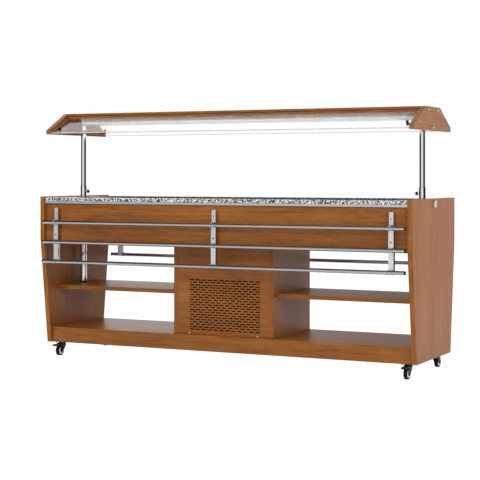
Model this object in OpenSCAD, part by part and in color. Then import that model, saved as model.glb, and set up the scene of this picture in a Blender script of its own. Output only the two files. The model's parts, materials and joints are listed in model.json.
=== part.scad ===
// Mobile refrigerated salad bar: a wood-board cabinet on four casters, a stone
// worktop with a chilled well, a folding three-tube tray rail on each long side,
// and a lit canopy whose two posts slide in clamped sleeves.
// X runs along the length, the customer's front is -Y, Z is up, and the origin
// is on the floor under the middle of the cabinet.

/* [Cabinet] */
// Overall length over the end panels
bar_length = 2160; // [1900:10:2400]
// Thickness of the end panels
end_t = 26; // [22:1:30]
// Depth of the end panels at the top
top_depth = 682; // [660:2:720]
// Depth of the end panels at the foot
foot_depth = 544; // [520:2:560]
// Height of the foot of the cabinet above the floor
caster_h = 77; // [76:0.5:80]
// Height at which the panel edges start to lean in
kink_z = 655; // [640:5:700]
// Height of the top of the end panels
panel_top_z = 887; // [886:1:890]
// Thickness of the other boards
board_t = 20; // [18:1:20]
// Height of the top of the deck
deck_z = 160; // [150:2:170]
// Height of the top of the middle shelves
shelf_z = 391; // [370:1:420]
// Thickness of the middle shelves
shelf_t = 22; // [18:1:25]
// Depth of the middle shelves
shelf_depth = 414; // [380:2:420]
// Width of the machine box in the middle
box_w = 586; // [560:2:600]
// Depth of the machine box
box_d = 476; // [470:2:480]

/* [Worktop and well] */
// Height of the worktop surface
worktop_z = 881.5; // [880:0.5:884]
// Thickness of the stone worktop
worktop_t = 19; // [18:0.5:20]
// Length of the well opening, six full-size pans
well_l = 1956; // [1952:1:1958]
// Width of the well opening
well_w = 532; // [530:1:534]
// Height of the well floor
well_floor_z = 690; // [688:1:720]

/* [Tray rails] */
// Diameter of a rail tube
rail_d = 20; // [18:1:22]
// Spacing of the rail tubes
rail_pitch = 107.5; // [100:0.5:110]
// Height of the top rail tube, which is the hinge
rail_z = 747; // [740:1:755]
// Distance of the rail tubes from the middle of the bar
rail_y = 362; // [361:0.5:364]
// Half length of a rail tube with its end plugs
rail_half = 1052; // [1020:1:1053]
// Distance of the outer brackets from the middle
bracket_x = 973; // [940:1:980]

/* [Canopy] */
// Distance of the posts from the middle
post_x = 1016; // [1015:0.5:1018]
// Diameter of a canopy post
post_d = 30; // [28:1:30]
// Overall length of the canopy
canopy_l = 2147; // [2144:1:2150]
// Height of the lowest edge of the canopy
canopy_z = 1232; // [1220:1:1250]
// Height of the upright lip at the foot of a canopy end
canopy_lip = 22; // [16:1:26]
// Overall height of the bar
bar_h = 1352; // [1350:1:1360]
// Depth of the canopy at its foot
canopy_d = 588; // [580:2:600]
// Depth of the canopy at its top
canopy_top_d = 228; // [224:2:240]

/* [Casters] */
// Diameter of a caster wheel
wheel_d = 56; // [54:1:56]
// Width of a caster wheel
wheel_w = 20; // [18:1:20]
// Distance of the swivel pins from the middle, along the length
caster_x = 1018; // [1000:1:1020]
// Distance of the swivel pins from the middle, across the depth
caster_y = 218; // [200:1:222]
// How far a wheel trails behind its swivel pin
trail = 24; // [22:1:26]

/* [Vent slots] */
// Number of slots in a full row of the front panel
slot_n = 12; // [8:1:12]
// Number of slots in a full row of the back panel, which lie behind the compressor
back_slot_n = 6; // [3:1:6]
// Number of slot rows
slot_rows = 21; // [11:2:21]
// Length of a slot
slot_l = 27; // [20:1:28]
// Height of a slot
slot_h = 6.5; // [5:0.5:7]
// Spacing of the slots along a row
slot_px = 35; // [34:0.1:36]
// Spacing of the rows
slot_pz = 13.1; // [12:0.1:13.5]
// Height of the lowest row
slot_z = 188; // [180:1:190]
// How far the front slot field sits off the middle of the panel
slot_shift = 8; // [0:1:12]
// How far the back slot field sits off the middle of the panel
back_slot_shift = 120; // [100:1:130]

/* [Hidden] */

WOOD = "#8c5a32";
STONE = "#8f9092";
STEEL = "#c9cbcd";
CHROME = "#dfe3e6";
BLACK = "#1d1d1f";
WHITE = "#f1f1ef";
LAMP_GREY = "#cacac8";
COPPER = "#b87a4b";
GLASS = [0.85, 0.93, 0.92, 0.3];

$fn = 48;
EPS = 0.5;              // how far a cutting solid runs past a face
RUN = 0.05;             // radial running clearance of a pin in its bore
SEAT = 0.1;             // radial clearance of a part seated in a hole

half_l = bar_length / 2;
inner_x = half_l - end_t;
post_r = post_d / 2;
rail_r = rail_d / 2;
wheel_r = wheel_d / 2;

// Boards
plinth_y = 262;         // outer face of a plinth from the middle
plinth_in = plinth_y - board_t;
beam_w = 100;           // cross beam that carries two casters
beam_x = caster_x - 66; // its inner edge
box_x = box_w / 2;
box_y = box_d / 2;
box_top_z = 650;        // top of the machine box, which carries the well
panel_back = 2;         // setback of the vent panel in the box
panel_t = 18;
fascia_y = 326;         // outer face of a fascia from the middle
fascia_z0 = 626;
fascia_z1 = 850;

// Stone and well
stone_y = 338;
stone_z0 = worktop_z - worktop_t;
sheet = 1.5;
well_hx = well_l / 2;
well_hy = well_w / 2;
step_z = 846;           // ledge that the pan rims rest on
step_in = 14;           // how far the ledge reaches in
casing_hx = 993;
casing_hy = 298;

// Posts
sleeve_r = 18.6;
collar_r = 17.5;
sleeve_bore = collar_r + RUN;
collar_top = 945.5;
collar_foot = 800;
foot_h = 8;
screw_z = 912.5;        // height of the thumbscrews
screw_r = 4;
post_foot = 560;
post_top = 1301;

// Canopy
canopy_hx = canopy_l / 2;
canopy_in = canopy_hx - end_t;
roof_t = 27;
roof_z = bar_h - roof_t;
roof_hy = canopy_top_d / 2;
pane_t = 6;
pane_hx = canopy_in - 2.5;
pane_low = [288, 1241.5];   // y and z of the outer lower corner of a pane
pane_high = [110, roof_z - 0.5];
pane_a = atan2(pane_high[1] - pane_low[1], pane_low[0] - pane_high[0]);
pane_w = norm(pane_high - pane_low);
holder_up = 52;         // holder pin from the lower edge, up the pane
holder_in = 27;         // holder pin from the end panel's inner face
lamp_hx = 984;
lamp_low_hx = 957;
lamp_hy = 92;
lamp_z = 1286;
lamp_wall = 2;
diffuser_hx = 905;

// Machine room
tray_z = deck_z;
tray_hx = 262;
tray_hy = 208;
unit_z = tray_z + 2;
cond_x = [-250, -10];
cond_y = [-200, -145];
cond_z = [192, 432];
duct_l = 26;            // length of the duct between the condenser and its fan
fan_x = -130;
fan_z = 312;
fan_r = 92;
comp_x = 130;
comp_y = 60;
pipe_r = 4;
coil_z = well_floor_z - sheet - pipe_r - 0.1;

// Tray rail hardware, in the bracket's own frame: out is the way the tubes
// face, measured from the middle of the bar, and up is Z
plate_out = 345;        // front face of the wall bracket
plate_hw = 11;
arm_in_hw = 11.5;
arm_hw = 13.5;
arm_out = 349.5;
arm_back = 327.5;
arm_foot = rail_z - 2 * rail_pitch - 8;
ear_r = 12.5;
bracket_z = [655, 826];
bracket_xs = [-bracket_x, 0, bracket_x];
seat_t = 3;             // floor of a spacer, under the screw head
fixing_zs = [792.5, 678];   // wall screws, each seated in a spacer
spare_z = 777;

// ---------------------------------------------------------------- helpers

// A box between two corners
module block(a, b) {
    translate(a) cube(b - a);
}

// A cylinder along X, Y or Z between two places on that axis
module rod_x(x0, x1, y, z, r) {
    translate([x0, y, z]) rotate([0, 90, 0]) cylinder(h = x1 - x0, r = r);
}
module rod_y(y0, y1, x, z, r) {
    translate([x, y1, z]) rotate([90, 0, 0]) cylinder(h = y1 - y0, r = r);
}
module rod_z(z0, z1, x, y, r) {
    translate([x, y, z0]) cylinder(h = z1 - z0, r = r);
}

// A plate of thickness t between x0 and x0 + t, drawn in Y and Z
module plate_x(x0, t) {
    translate([x0, 0, 0]) rotate([90, 0, 90]) linear_extrude(height = t) children();
}

// The children and their mirror image across the length or the depth
module both_x() {
    children();
    mirror([1, 0, 0]) children();
}
module both_y() {
    children();
    mirror([0, 1, 0]) children();
}

// Points along a corner of radius r between three route points
function unit(v) = v / norm(v);
function corner(a, b, c, r, n = 4) =
    let (
        u = unit(a - b),
        w = unit(c - b),
        turn = acos(max(-1, min(1, u * w))),
        back = r / tan(turn / 2),
        p = b + u * back,
        centre = b + unit(u + w) * (r / sin(turn / 2)),
        q = b + w * back,
        e = p - centre,
        f = unit((q - centre) - e * ((q - centre) * e) / (r * r)) * r
    )
    [for (i = [0:n]) let (t = (180 - turn) * i / n) centre + e * cos(t) + f * sin(t)];

// A route through points with every inner corner rounded
function rounded(pts, r) = concat(
    [pts[0]],
    [for (i = [1:len(pts) - 2]) each corner(pts[i - 1], pts[i], pts[i + 1], r)],
    [pts[len(pts) - 1]]);

// The part of v that is square to d, as a unit vector
function square_to(v, d) = unit(v - d * (v * d));

// A tube of n sides swept along a route, its rings carried along without twist
module swept(pts, r, n = 8) {
    last = len(pts) - 1;
    way = [for (i = [0:last]) unit(pts[min(i + 1, last)] - pts[max(i - 1, 0)])];
    start = square_to(abs(way[0][2]) > 0.8 ? [1, 0, 0] : [0, 0, 1], way[0]);
    side = [for (i = 0, s = start; i <= last; i = i + 1, s = i > last ? s : square_to(s, way[i])) s];
    ring = [for (i = [0:last]) let (s = side[i], t = cross(way[i], s))
        for (k = [0:n - 1]) pts[i] + r * (cos(360 * k / n) * s + sin(360 * k / n) * t)];
    walls = [for (i = [0:last - 1]) for (k = [0:n - 1]) let (m = (k + 1) % n) each [
        [i * n + k, (i + 1) * n + k, (i + 1) * n + m],
        [i * n + k, (i + 1) * n + m, i * n + m]]];
    ends = [
        [for (k = [0:n - 1]) k],
        [for (k = [n - 1:-1:0]) last * n + k]];
    polyhedron(points = ring, faces = concat(walls, ends));
}

// ---------------------------------------------------------------- cabinet

module end_outline() {
    polygon([
        [-foot_depth / 2, caster_h], [foot_depth / 2, caster_h],
        [top_depth / 2, kink_z], [top_depth / 2, panel_top_z],
        [-top_depth / 2, panel_top_z], [-top_depth / 2, kink_z]]);
}

cap_z = 861;            // height of the round cap on an end panel
cap_stem_r = 5;
cap_hole = 12;          // depth of the hole for its stem

module end_panel() {
    color(WOOD) difference() {
        plate_x(inner_x, end_t) end_outline();
        rod_x(half_l - cap_hole, half_l + EPS, 0, cap_z, cap_stem_r + SEAT);
    }
}

module end_panel_left() {
    mirror([1, 0, 0]) end_panel();
}

module end_panel_right() {
    end_panel();
}

module end_panel_caps() {
    color(STEEL) both_x() translate([half_l, 0, cap_z]) rotate([0, 90, 0]) {
        rotate_extrude() polygon([
            [0, -10], [cap_stem_r, -10], [cap_stem_r, 0], [21, 0],
            [21, 5], [19.5, 7.2], [16, 8], [0, 8]]);
    }
}

module base_deck() {
    color(WOOD) {
        block([-inner_x, -plinth_in, deck_z - board_t], [inner_x, plinth_in, deck_z]);
        both_x() block(
            [beam_x, -plinth_in, caster_h],
            [beam_x + beam_w, plinth_in, deck_z - board_t + EPS]);
    }
}

module plinths() {
    color(WOOD) both_y() block(
        [-inner_x, plinth_in, caster_h], [inner_x, plinth_y, deck_z]);
}

module shelves() {
    color(WOOD) both_x() block(
        [box_x, -shelf_depth / 2, shelf_z - shelf_t], [inner_x, shelf_depth / 2, shelf_z]);
}

module fascia() {
    color(WOOD) difference() {
        block([-inner_x, fascia_y - board_t, fascia_z0], [inner_x, fascia_y, fascia_z1]);
        for (x = bracket_xs, z = fixing_zs)
            rod_y(fascia_y - shank_l, fascia_y + EPS, x, z, shank_r + SEAT);
    }
}

module fascia_front() {
    mirror([0, 1, 0]) fascia();
}

module fascia_back() {
    fascia();
}

module box_sides() {
    color(WOOD) both_x() block(
        [box_x - board_t, -box_y, deck_z], [box_x, box_y, box_top_z]);
}

// One row of count slots; odd rows are staggered and end in part slots
module slot_row(row, count, shift) {
    x0 = shift - ((count - 1) * slot_px + slot_l) / 2;
    x1 = x0 + (count - 1) * slot_px + slot_l;
    z = slot_z + row * slot_pz - slot_h / 2;
    staggered = row % 2 == 1;
    first = staggered ? x0 - slot_px / 2 : x0;
    for (i = [0:count - (staggered ? 0 : 1)]) {
        a = max(x0, first + i * slot_px);
        b = min(x1, first + i * slot_px + slot_l);
        translate([a, z]) square([b - a, slot_h]);
    }
}

grille_x = box_x - board_t;
panel_screw_x = 200;
panel_screw_z = 167;
shank_r = 1.6;          // shank of a wood screw
shank_l = 8;            // how far it reaches into the board
control_z = 560;
control_t = 2;          // thickness of the control plate
knob_x = -40;
knob_shaft_r = 4;
switch_x = 40;
switch_hx = 12;         // half size of the rocker's opening in the plate
switch_hz = 8;
gland_x = -215;
gland_z = 176;
gland_r = 8;            // thread of the cable gland

module grille_outline(count, shift) {
    difference() {
        translate([-grille_x, deck_z]) square([2 * grille_x, box_top_z - deck_z]);
        for (row = [0:slot_rows - 1]) slot_row(row, count, shift);
        for (x = [-panel_screw_x, panel_screw_x])
            translate([x, panel_screw_z]) circle(r = shank_r + SEAT);
    }
}

module grille_front() {
    color(WOOD) translate([0, -box_y + panel_back + panel_t, 0]) rotate([90, 0, 0])
        linear_extrude(height = panel_t) grille_outline(slot_n, slot_shift);
}

module grille_back() {
    inside = box_y - panel_t - 4;
    color(WOOD) difference() {
        translate([0, box_y - panel_back, 0]) rotate([90, 0, 0])
            linear_extrude(height = panel_t) grille_outline(back_slot_n, back_slot_shift);
        rod_y(inside, box_y, knob_x, control_z, knob_shaft_r + 2);
        block([switch_x - switch_hx - 1, inside, control_z - switch_hz - 1],
            [switch_x + switch_hx + 1, box_y, control_z + switch_hz + 1]);
        rod_y(inside, box_y, gland_x, gland_z, gland_r + SEAT);
    }
}

// ---------------------------------------------------------------- worktop and well

module worktop() {
    hole_r = collar_r + SEAT;
    color(STONE) difference() {
        block([-inner_x, -stone_y, stone_z0], [inner_x, stone_y, worktop_z]);
        block([-well_hx, -well_hy, stone_z0 - EPS], [well_hx, well_hy, worktop_z + EPS]);
        both_x() rod_z(stone_z0 - EPS, worktop_z + EPS, post_x, 0, hole_r);
    }
}

module worktop_rails() {
    inner = 300;
    outer = stone_y - 2;
    wall = 2;
    color(STEEL) both_y() difference() {
        block([-inner_x, inner, fascia_z1], [inner_x, outer, stone_z0]);
        block([-inner_x - EPS, inner + wall, fascia_z1 + wall],
            [inner_x + EPS, outer - wall, stone_z0 - wall]);
    }
}

upper_hx = well_hx + 2;
upper_hy = well_hy + 2;
lower_hx = upper_hx - step_in;
lower_hy = upper_hy - step_in;
drain_x = -150;
drain_r = 13;

module well_liner() {
    color(STEEL) difference() {
        union() {
            block([-casing_hx + 1, -casing_hy + 1, stone_z0 - sheet],
                [casing_hx - 1, casing_hy - 1, stone_z0]);
            block([-upper_hx - sheet, -upper_hy - sheet, step_z - sheet],
                [upper_hx + sheet, upper_hy + sheet, stone_z0]);
            block([-lower_hx - sheet, -lower_hy - sheet, well_floor_z - sheet],
                [lower_hx + sheet, lower_hy + sheet, step_z]);
        }
        block([-upper_hx, -upper_hy, step_z], [upper_hx, upper_hy, stone_z0 + EPS]);
        block([-lower_hx, -lower_hy, well_floor_z], [lower_hx, lower_hy, step_z + EPS]);
        rod_z(well_floor_z - 2 * sheet, well_floor_z + EPS, drain_x, 0, drain_r + SEAT);
    }
}

riser_x = [205, 235];   // return and supply pipes through the casing floor
riser_y = -190;

// Five insulated panels round the liner: a floor, two ends, and two sides between
// the ends, each with a step under the liner's ledge and a seam to the next panel
module well_casing() {
    gap = 0.5;
    seam = 0.2;
    side_x = lower_hx + sheet + gap;
    side_y = lower_hy + sheet + gap;
    floor_z = coil_z - pipe_r - 2;
    top_z = stone_z0 - sheet;
    color(LAMP_GREY) {
        difference() {
            block([-casing_hx, -casing_hy, box_top_z], [casing_hx, casing_hy, floor_z]);
            rod_z(box_top_z - EPS, coil_z, drain_x, 0, drain_r + gap);
            for (x = riser_x) rod_z(box_top_z - EPS, coil_z, x, riser_y, pipe_r + 3);
        }
        difference() {
            union() {
                both_x() block([side_x, -casing_hy, floor_z + seam], [casing_hx, casing_hy, top_z]);
                both_y() block(
                    [-side_x + seam, side_y, floor_z + seam], [side_x - seam, casing_hy, top_z]);
            }
            block([-upper_hx - sheet - gap, -upper_hy - sheet - gap, step_z - sheet - gap],
                [upper_hx + sheet + gap, upper_hy + sheet + gap, stone_z0]);
        }
    }
}

module drain_pipe() {
    low = 600;
    color(STEEL) translate([drain_x, 0, 0]) rotate_extrude() polygon([
        [10, low + 12], [0, low + 12], [0, low], [15, low], [15, low + 14],
        [drain_r, low + 14], [drain_r, well_floor_z], [20, well_floor_z],
        [20, well_floor_z + 1.5], [10, well_floor_z + 1.5]]);
}

// ---------------------------------------------------------------- cooling unit

module unit_tray() {
    lip = 24;
    wall = 2;
    color(STEEL) difference() {
        block([-tray_hx, -tray_hy, tray_z], [tray_hx, tray_hy, tray_z + lip]);
        block([-tray_hx + wall, -tray_hy + wall, unit_z],
            [tray_hx - wall, tray_hy - wall, tray_z + lip + EPS]);
    }
}

module compressor() {
    foot_r = 14;
    foot_at = 70;
    base_hw = 88;
    base_t = 3;
    plate_z = unit_z + 12;
    can_r = 76;
    can_h = 165;
    dome = 55;
    color(BLACK) {
        translate([comp_x, comp_y, 0]) {
            for (x = [-foot_at, foot_at], y = [-foot_at, foot_at])
                rod_z(unit_z, plate_z + 1, x, y, foot_r);
            block([-base_hw, -base_hw, plate_z], [base_hw, base_hw, plate_z + base_t]);
            translate([0, 0, plate_z + 2]) rotate_extrude() polygon(concat(
                [[0, 0], [can_r - 6, 0], [can_r, 8]],
                [for (a = [0:10:90]) [can_r * (0.3 + 0.7 * cos(a)), can_h - dome + dome * sin(a)]],
                [[0, can_h]]));
            block([-100, -28, plate_z + 40], [-60, 28, plate_z + 100]);
        }
    }
}

module condenser() {
    fin_n = 22;
    pitch = (cond_x[1] - cond_x[0] - 4) / fin_n;
    duct_y = cond_y[1] + duct_l;
    color(LAMP_GREY) {
        difference() {
            block([cond_x[0], cond_y[0], cond_z[0]], [cond_x[1], cond_y[1], cond_z[1]]);
            for (i = [0:fin_n - 1]) {
                x = cond_x[0] + 4 + i * pitch;
                block([x, cond_y[0] - EPS, cond_z[0] + 8],
                    [x + pitch - 4, cond_y[0] + 12, cond_z[1] - 8]);
            }
        }
        for (x = [cond_x[0], cond_x[1] - 8])
            block([x, cond_y[0], unit_z], [x + 8, cond_y[1], cond_z[0] + 1]);
        difference() {
            block([cond_x[0], cond_y[1] - EPS, cond_z[0]], [cond_x[1], duct_y, cond_z[1]]);
            rod_y(cond_y[1] + 1, duct_y + EPS, fan_x, fan_z, fan_r + 6);
        }
    }
}

fan_y = [-138, -122];   // both faces of the blades, inside the duct
fan_shaft_r = 4;
motor_y = [-112, -62];

module fan_motor() {
    color(BLACK) {
        rod_y(motor_y[0], motor_y[1], fan_x, fan_z, 34);
        rod_y(fan_y[0] + 2, motor_y[0] + 1, fan_x, fan_z, fan_shaft_r);
        block([cond_x[0] + 6, motor_y[0], fan_z - 9], [cond_x[1] - 6, motor_y[0] + 4, fan_z + 9]);
        for (x = [cond_x[0] + 6, cond_x[1] - 14])
            block([x, cond_y[1] + duct_l, fan_z - 9], [x + 8, motor_y[0] + 4, fan_z + 9]);
    }
}

module fan_blade() {
    blades = 5;
    blade_w = 46;
    blade_t = 2;
    twist = 24;
    hub_r = 20;
    color(BLACK) difference() {
        union() {
            rod_y(fan_y[0], fan_y[1], fan_x, fan_z, hub_r);
            for (i = [0:blades - 1])
                translate([fan_x, (fan_y[0] + fan_y[1]) / 2, fan_z])
                    rotate([0, i * 360 / blades, 0]) rotate([0, 0, twist])
                        translate([-blade_w / 2, -blade_t / 2, hub_r - 4])
                            cube([blade_w, blade_t, fan_r - hub_r]);
        }
        rod_y(fan_y[0] - EPS, fan_y[1] + EPS, fan_x, fan_z, fan_shaft_r + RUN);
    }
}

// Serpentine under the well floor, then back along the casing to the return
coil_runs = 6;
coil_px = 76;           // spacing of the runs
coil_hx = 930;
return_x = 956;
return_y = -228;

function coil_route() = [for (i = [0:coil_runs - 1])
    let (y = riser_y + i * coil_px, way = i % 2 == 0 ? 1 : -1)
    each [[-way * coil_hx, y, coil_z], [way * coil_hx, y, coil_z]]];

module copper_pipes() {
    runs = coil_route();
    last = len(runs) - 1;
    bend = 11;
    side_x = cond_x[1];
    liquid_z = cond_z[0] + 24;
    gas_z = cond_z[1] - 32;
    port_z = unit_z + 78;
    suction_x = comp_x + 40;
    gas_x = comp_x - 30;
    color(COPPER) {
        swept(rounded(concat(
            [[side_x, riser_y, liquid_z], [riser_x[1], riser_y, liquid_z],
             [riser_x[1], riser_y, coil_z]],
            [for (i = [1:last - 1]) runs[i]],
            [[-return_x, runs[last][1], coil_z], [-return_x, return_y, coil_z],
             [riser_x[0], return_y, coil_z], [riser_x[0], riser_y, coil_z],
             [riser_x[0], riser_y, port_z], [suction_x, riser_y, port_z],
             [suction_x, comp_y - 60, port_z]]), bend), pipe_r);
        swept(rounded([
            [gas_x, comp_y - 64, port_z], [gas_x, comp_y - 120, port_z],
            [gas_x, comp_y - 120, gas_z], [gas_x, cond_y[0] + 28, gas_z],
            [side_x, cond_y[0] + 28, gas_z]], bend), pipe_r);
    }
}

module control_plate() {
    y = box_y - panel_back;
    color(STEEL) difference() {
        block([-90, y, control_z - 38], [90, y + control_t, control_z + 38]);
        rod_y(y - EPS, y + control_t + EPS, knob_x, control_z, knob_shaft_r + SEAT);
        block([switch_x - switch_hx, y - EPS, control_z - switch_hz],
            [switch_x + switch_hx, y + control_t + EPS, control_z + switch_hz]);
    }
}

module thermostat_knob() {
    y = box_y - panel_back + control_t;
    color(BLACK) difference() {
        union() {
            rod_y(y + 1, y + 17, knob_x, control_z, 17);
            rod_y(y - 18, y + 2, knob_x, control_z, knob_shaft_r);
            rod_y(y + 1, y + 4, knob_x, control_z, 21);
        }
        block([knob_x - 1.5, y + 13, control_z + 3], [knob_x + 1.5, y + 18, control_z + 18]);
    }
}

module power_switch() {
    y = box_y - panel_back;
    tilt = 8;
    hw = switch_hx - 1;
    color(BLACK) translate([switch_x, y - 2, control_z]) rotate([tilt, 0, 0])
        rotate([0, 90, 0]) translate([0, 0, -hw])
            linear_extrude(height = 2 * hw) polygon([
                [-6.5, -4], [6.5, -4], [6.5, 6.4], [0, 5.2], [-6.5, 6.4]]);
    color(BLACK) rod_x(switch_x - hw - 0.8, switch_x + hw + 0.8, y - 2, control_z, 1.5);
}

module cable_gland() {
    y = box_y - panel_back;
    nut_r = 12;
    color(BLACK) difference() {
        union() {
            rod_y(y - panel_t - 3, y + 8, gland_x, gland_z, gland_r);
            translate([gland_x, y + 6, gland_z]) rotate([90, 0, 0])
                cylinder(h = 6, r = nut_r, $fn = 6);
            rod_y(y + 6, y + 18, gland_x, gland_z, 9);
            translate([gland_x, y - panel_t, gland_z]) rotate([90, 0, 0])
                cylinder(h = 4, r = nut_r, $fn = 6);
        }
        rod_y(y - panel_t - 5, y + 20, gland_x, gland_z, 4);
    }
}

// ---------------------------------------------------------------- posts

module post_sleeves() {
    foot_r = 22;
    plug_r = sleeve_bore - 0.2;
    color(CHROME) both_x() translate([post_x, 0, 0]) rotate_extrude() polygon([
        [sleeve_bore, shelf_z + foot_h], [sleeve_r, shelf_z + foot_h],
        [sleeve_r, stone_z0], [sleeve_bore, stone_z0]]);
    color(BLACK) both_x() translate([post_x, 0, shelf_z]) rotate_extrude() polygon([
        [0, 0], [foot_r, 0], [foot_r, 5], [foot_r - 2, foot_h], [plug_r, foot_h],
        [plug_r, foot_h + 8], [0, foot_h + 8]]);
}

module post_collars() {
    bore = post_r + RUN;
    edge = 1.5;
    color(CHROME) both_x() difference() {
        translate([post_x, 0, 0]) rotate_extrude() polygon([
            [bore, collar_foot], [collar_r, collar_foot], [collar_r, collar_top - edge],
            [collar_r - edge, collar_top], [bore, collar_top]]);
        rod_x(post_x - collar_r - 2, post_x - bore + 1, 0, screw_z, screw_r + RUN);
    }
}

module canopy_posts() {
    wall = 1.5;
    color(CHROME) both_x() translate([post_x, 0, 0]) rotate_extrude() polygon([
        [post_r - wall, post_foot], [post_r, post_foot], [post_r, post_top],
        [post_r - wall, post_top]]);
}

module thumbscrew() {
    tip = post_x - post_r - 0.3;
    head = post_x - 23;
    ridges = 12;
    color(BLACK) {
        rod_x(head - 1, tip, 0, screw_z, screw_r);
        difference() {
            translate([head, 0, screw_z]) rotate([0, -90, 0]) rotate_extrude() polygon([
                [0, 0], [6, 0], [9.5, 3], [9.5, 11], [8, 12.5], [0, 12.5]]);
            for (i = [0:ridges - 1])
                rotate_about_screw(i * 360 / ridges)
                    rod_x(head - 14, head - 2, 10.4, screw_z, 1.5);
        }
    }
}

module rotate_about_screw(a) {
    translate([0, 0, screw_z]) rotate([a, 0, 0]) translate([0, 0, -screw_z]) children();
}

module thumbscrew_left() {
    mirror([1, 0, 0]) thumbscrew();
}

module thumbscrew_right() {
    thumbscrew();
}

// A saddle from each post to the canopy end, and on the post's top a plate with
// an upright strip that reaches the roof board
module post_brackets() {
    saddle_z = foot_bolt_z;
    saddle_h = 9;
    plate = canopy_in - 3;
    top_hw = 22;
    top_t = 3;
    strip_x = post_x + 16;
    strip_t = 4;
    strip_hy = 18;
    color(STEEL) both_x() {
        difference() {
            union() {
                rod_z(saddle_z - saddle_h, saddle_z + saddle_h, post_x, 0, post_r + 3);
                block([post_x, -8, saddle_z - saddle_h], [plate + 1, 8, saddle_z + saddle_h]);
                block([plate, -16, saddle_z - saddle_h - 1], [canopy_in, 16, saddle_z + saddle_h + 1]);
            }
            rod_z(saddle_z - 20, saddle_z + 20, post_x, 0, post_r);
        }
        block([post_x - top_hw, -top_hw, post_top], [post_x + top_hw, top_hw, post_top + top_t]);
        block([strip_x, -strip_hy, post_top], [strip_x + strip_t, strip_hy, roof_z]);
    }
}

// ---------------------------------------------------------------- canopy

bolt_ys = [-77, 77];
roof_bolt_z = bar_h - roof_t / 2;
foot_bolt_z = 1249.5;
cap_bore = 4;

module canopy_outline() {
    polygon([
        [-canopy_d / 2, canopy_z], [canopy_d / 2, canopy_z],
        [canopy_d / 2, canopy_z + canopy_lip], [roof_hy, bar_h],
        [-roof_hy, bar_h], [-canopy_d / 2, canopy_z + canopy_lip]]);
}

module canopy_end() {
    deep = 10;
    color(WOOD) difference() {
        plate_x(canopy_in, end_t) canopy_outline();
        for (y = bolt_ys) rod_x(canopy_hx - deep, canopy_hx + EPS, y, roof_bolt_z, cap_bore + SEAT);
        rod_x(canopy_hx - deep, canopy_hx + EPS, 0, foot_bolt_z, cap_bore + SEAT);
    }
}

module canopy_end_left() {
    mirror([1, 0, 0]) canopy_end();
}

module canopy_end_right() {
    canopy_end();
}

module cap_dome() {
    rotate([0, 90, 0]) rotate_extrude() polygon([
        [0, -9], [cap_bore, -9], [cap_bore, 0], [8.5, 0], [8.5, 1],
        [7.6, 3], [5.4, 4.6], [2.8, 5.4], [0, 5.6]]);
}

module canopy_caps() {
    color(CHROME) both_x() {
        for (y = bolt_ys) translate([canopy_hx, y, roof_bolt_z]) cap_dome();
        translate([canopy_hx, 0, foot_bolt_z]) cap_dome();
    }
}

// The roof board, with a shadow groove along each long edge
module canopy_top() {
    groove = 3;
    color(WOOD) difference() {
        block([-canopy_in, -roof_hy, roof_z], [canopy_in, roof_hy, bar_h]);
        both_y() block(
            [-canopy_in - EPS, roof_hy - groove, roof_bolt_z - 2],
            [canopy_in + EPS, roof_hy + EPS, roof_bolt_z + 1]);
    }
}

// One pane, lying on the line between its two outer corners
module pane() {
    color(GLASS) translate([-pane_hx, pane_low[0], pane_low[1]])
        rotate([180 - pane_a, 0, 0]) cube([2 * pane_hx, pane_w, pane_t]);
}

module glass_back() {
    pane();
}

module glass_front() {
    mirror([0, 1, 0]) pane();
}

// The peg that carries a pane: a black block on the end panel and a ball nut
module glass_holder() {
    up = holder_up;
    y = pane_low[0] - up * cos(pane_a);
    z = pane_low[1] + up * sin(pane_a);
    x = canopy_in - holder_in;
    hw = 8;
    ball_r = 7;
    translate([0, y, z]) rotate([-pane_a, 0, 0]) {
        block([x - 6, -hw, -pane_t - 8], [canopy_in, hw, -pane_t - 0.2]);
        rod_z(0.2, 3, x, 0, hw);
        translate([x, 0, ball_r + 1]) sphere(r = ball_r);
    }
}

module glass_holders() {
    color(BLACK) both_x() both_y() glass_holder();
}

module lamp_housing() {
    color(LAMP_GREY) difference() {
        translate([0, lamp_hy, 0]) rotate([90, 0, 0]) linear_extrude(height = 2 * lamp_hy) polygon([
            [-lamp_hx, roof_z], [-lamp_hx, roof_z - 4], [-lamp_low_hx, lamp_z],
            [lamp_low_hx, lamp_z], [lamp_hx, roof_z - 4], [lamp_hx, roof_z]]);
        block([-diffuser_hx, -lamp_hy + lamp_wall, lamp_z - EPS],
            [diffuser_hx, lamp_hy - lamp_wall, roof_z - 2 * lamp_wall]);
    }
}

module led_strip() {
    led_n = 24;
    led_hw = 6;
    strip_hy = 30;
    hx = diffuser_hx - 15;
    z = roof_z - 2 * lamp_wall;
    pitch = 2 * hx / led_n;
    color(WHITE) {
        block([-hx, -strip_hy, z - 2], [hx, strip_hy, z]);
        for (i = [0:led_n - 1]) {
            x = -hx + (i + 0.5) * pitch;
            block([x - led_hw, -led_hw, z - 4], [x + led_hw, led_hw, z - 1.5]);
        }
    }
}

module lamp_diffuser() {
    gap = 0.1;
    color(WHITE) block(
        [-diffuser_hx + gap, -lamp_hy + lamp_wall + gap, lamp_z],
        [diffuser_hx - gap, lamp_hy - lamp_wall - gap, lamp_z + 4]);
}

// ---------------------------------------------------------------- tray rails

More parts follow.
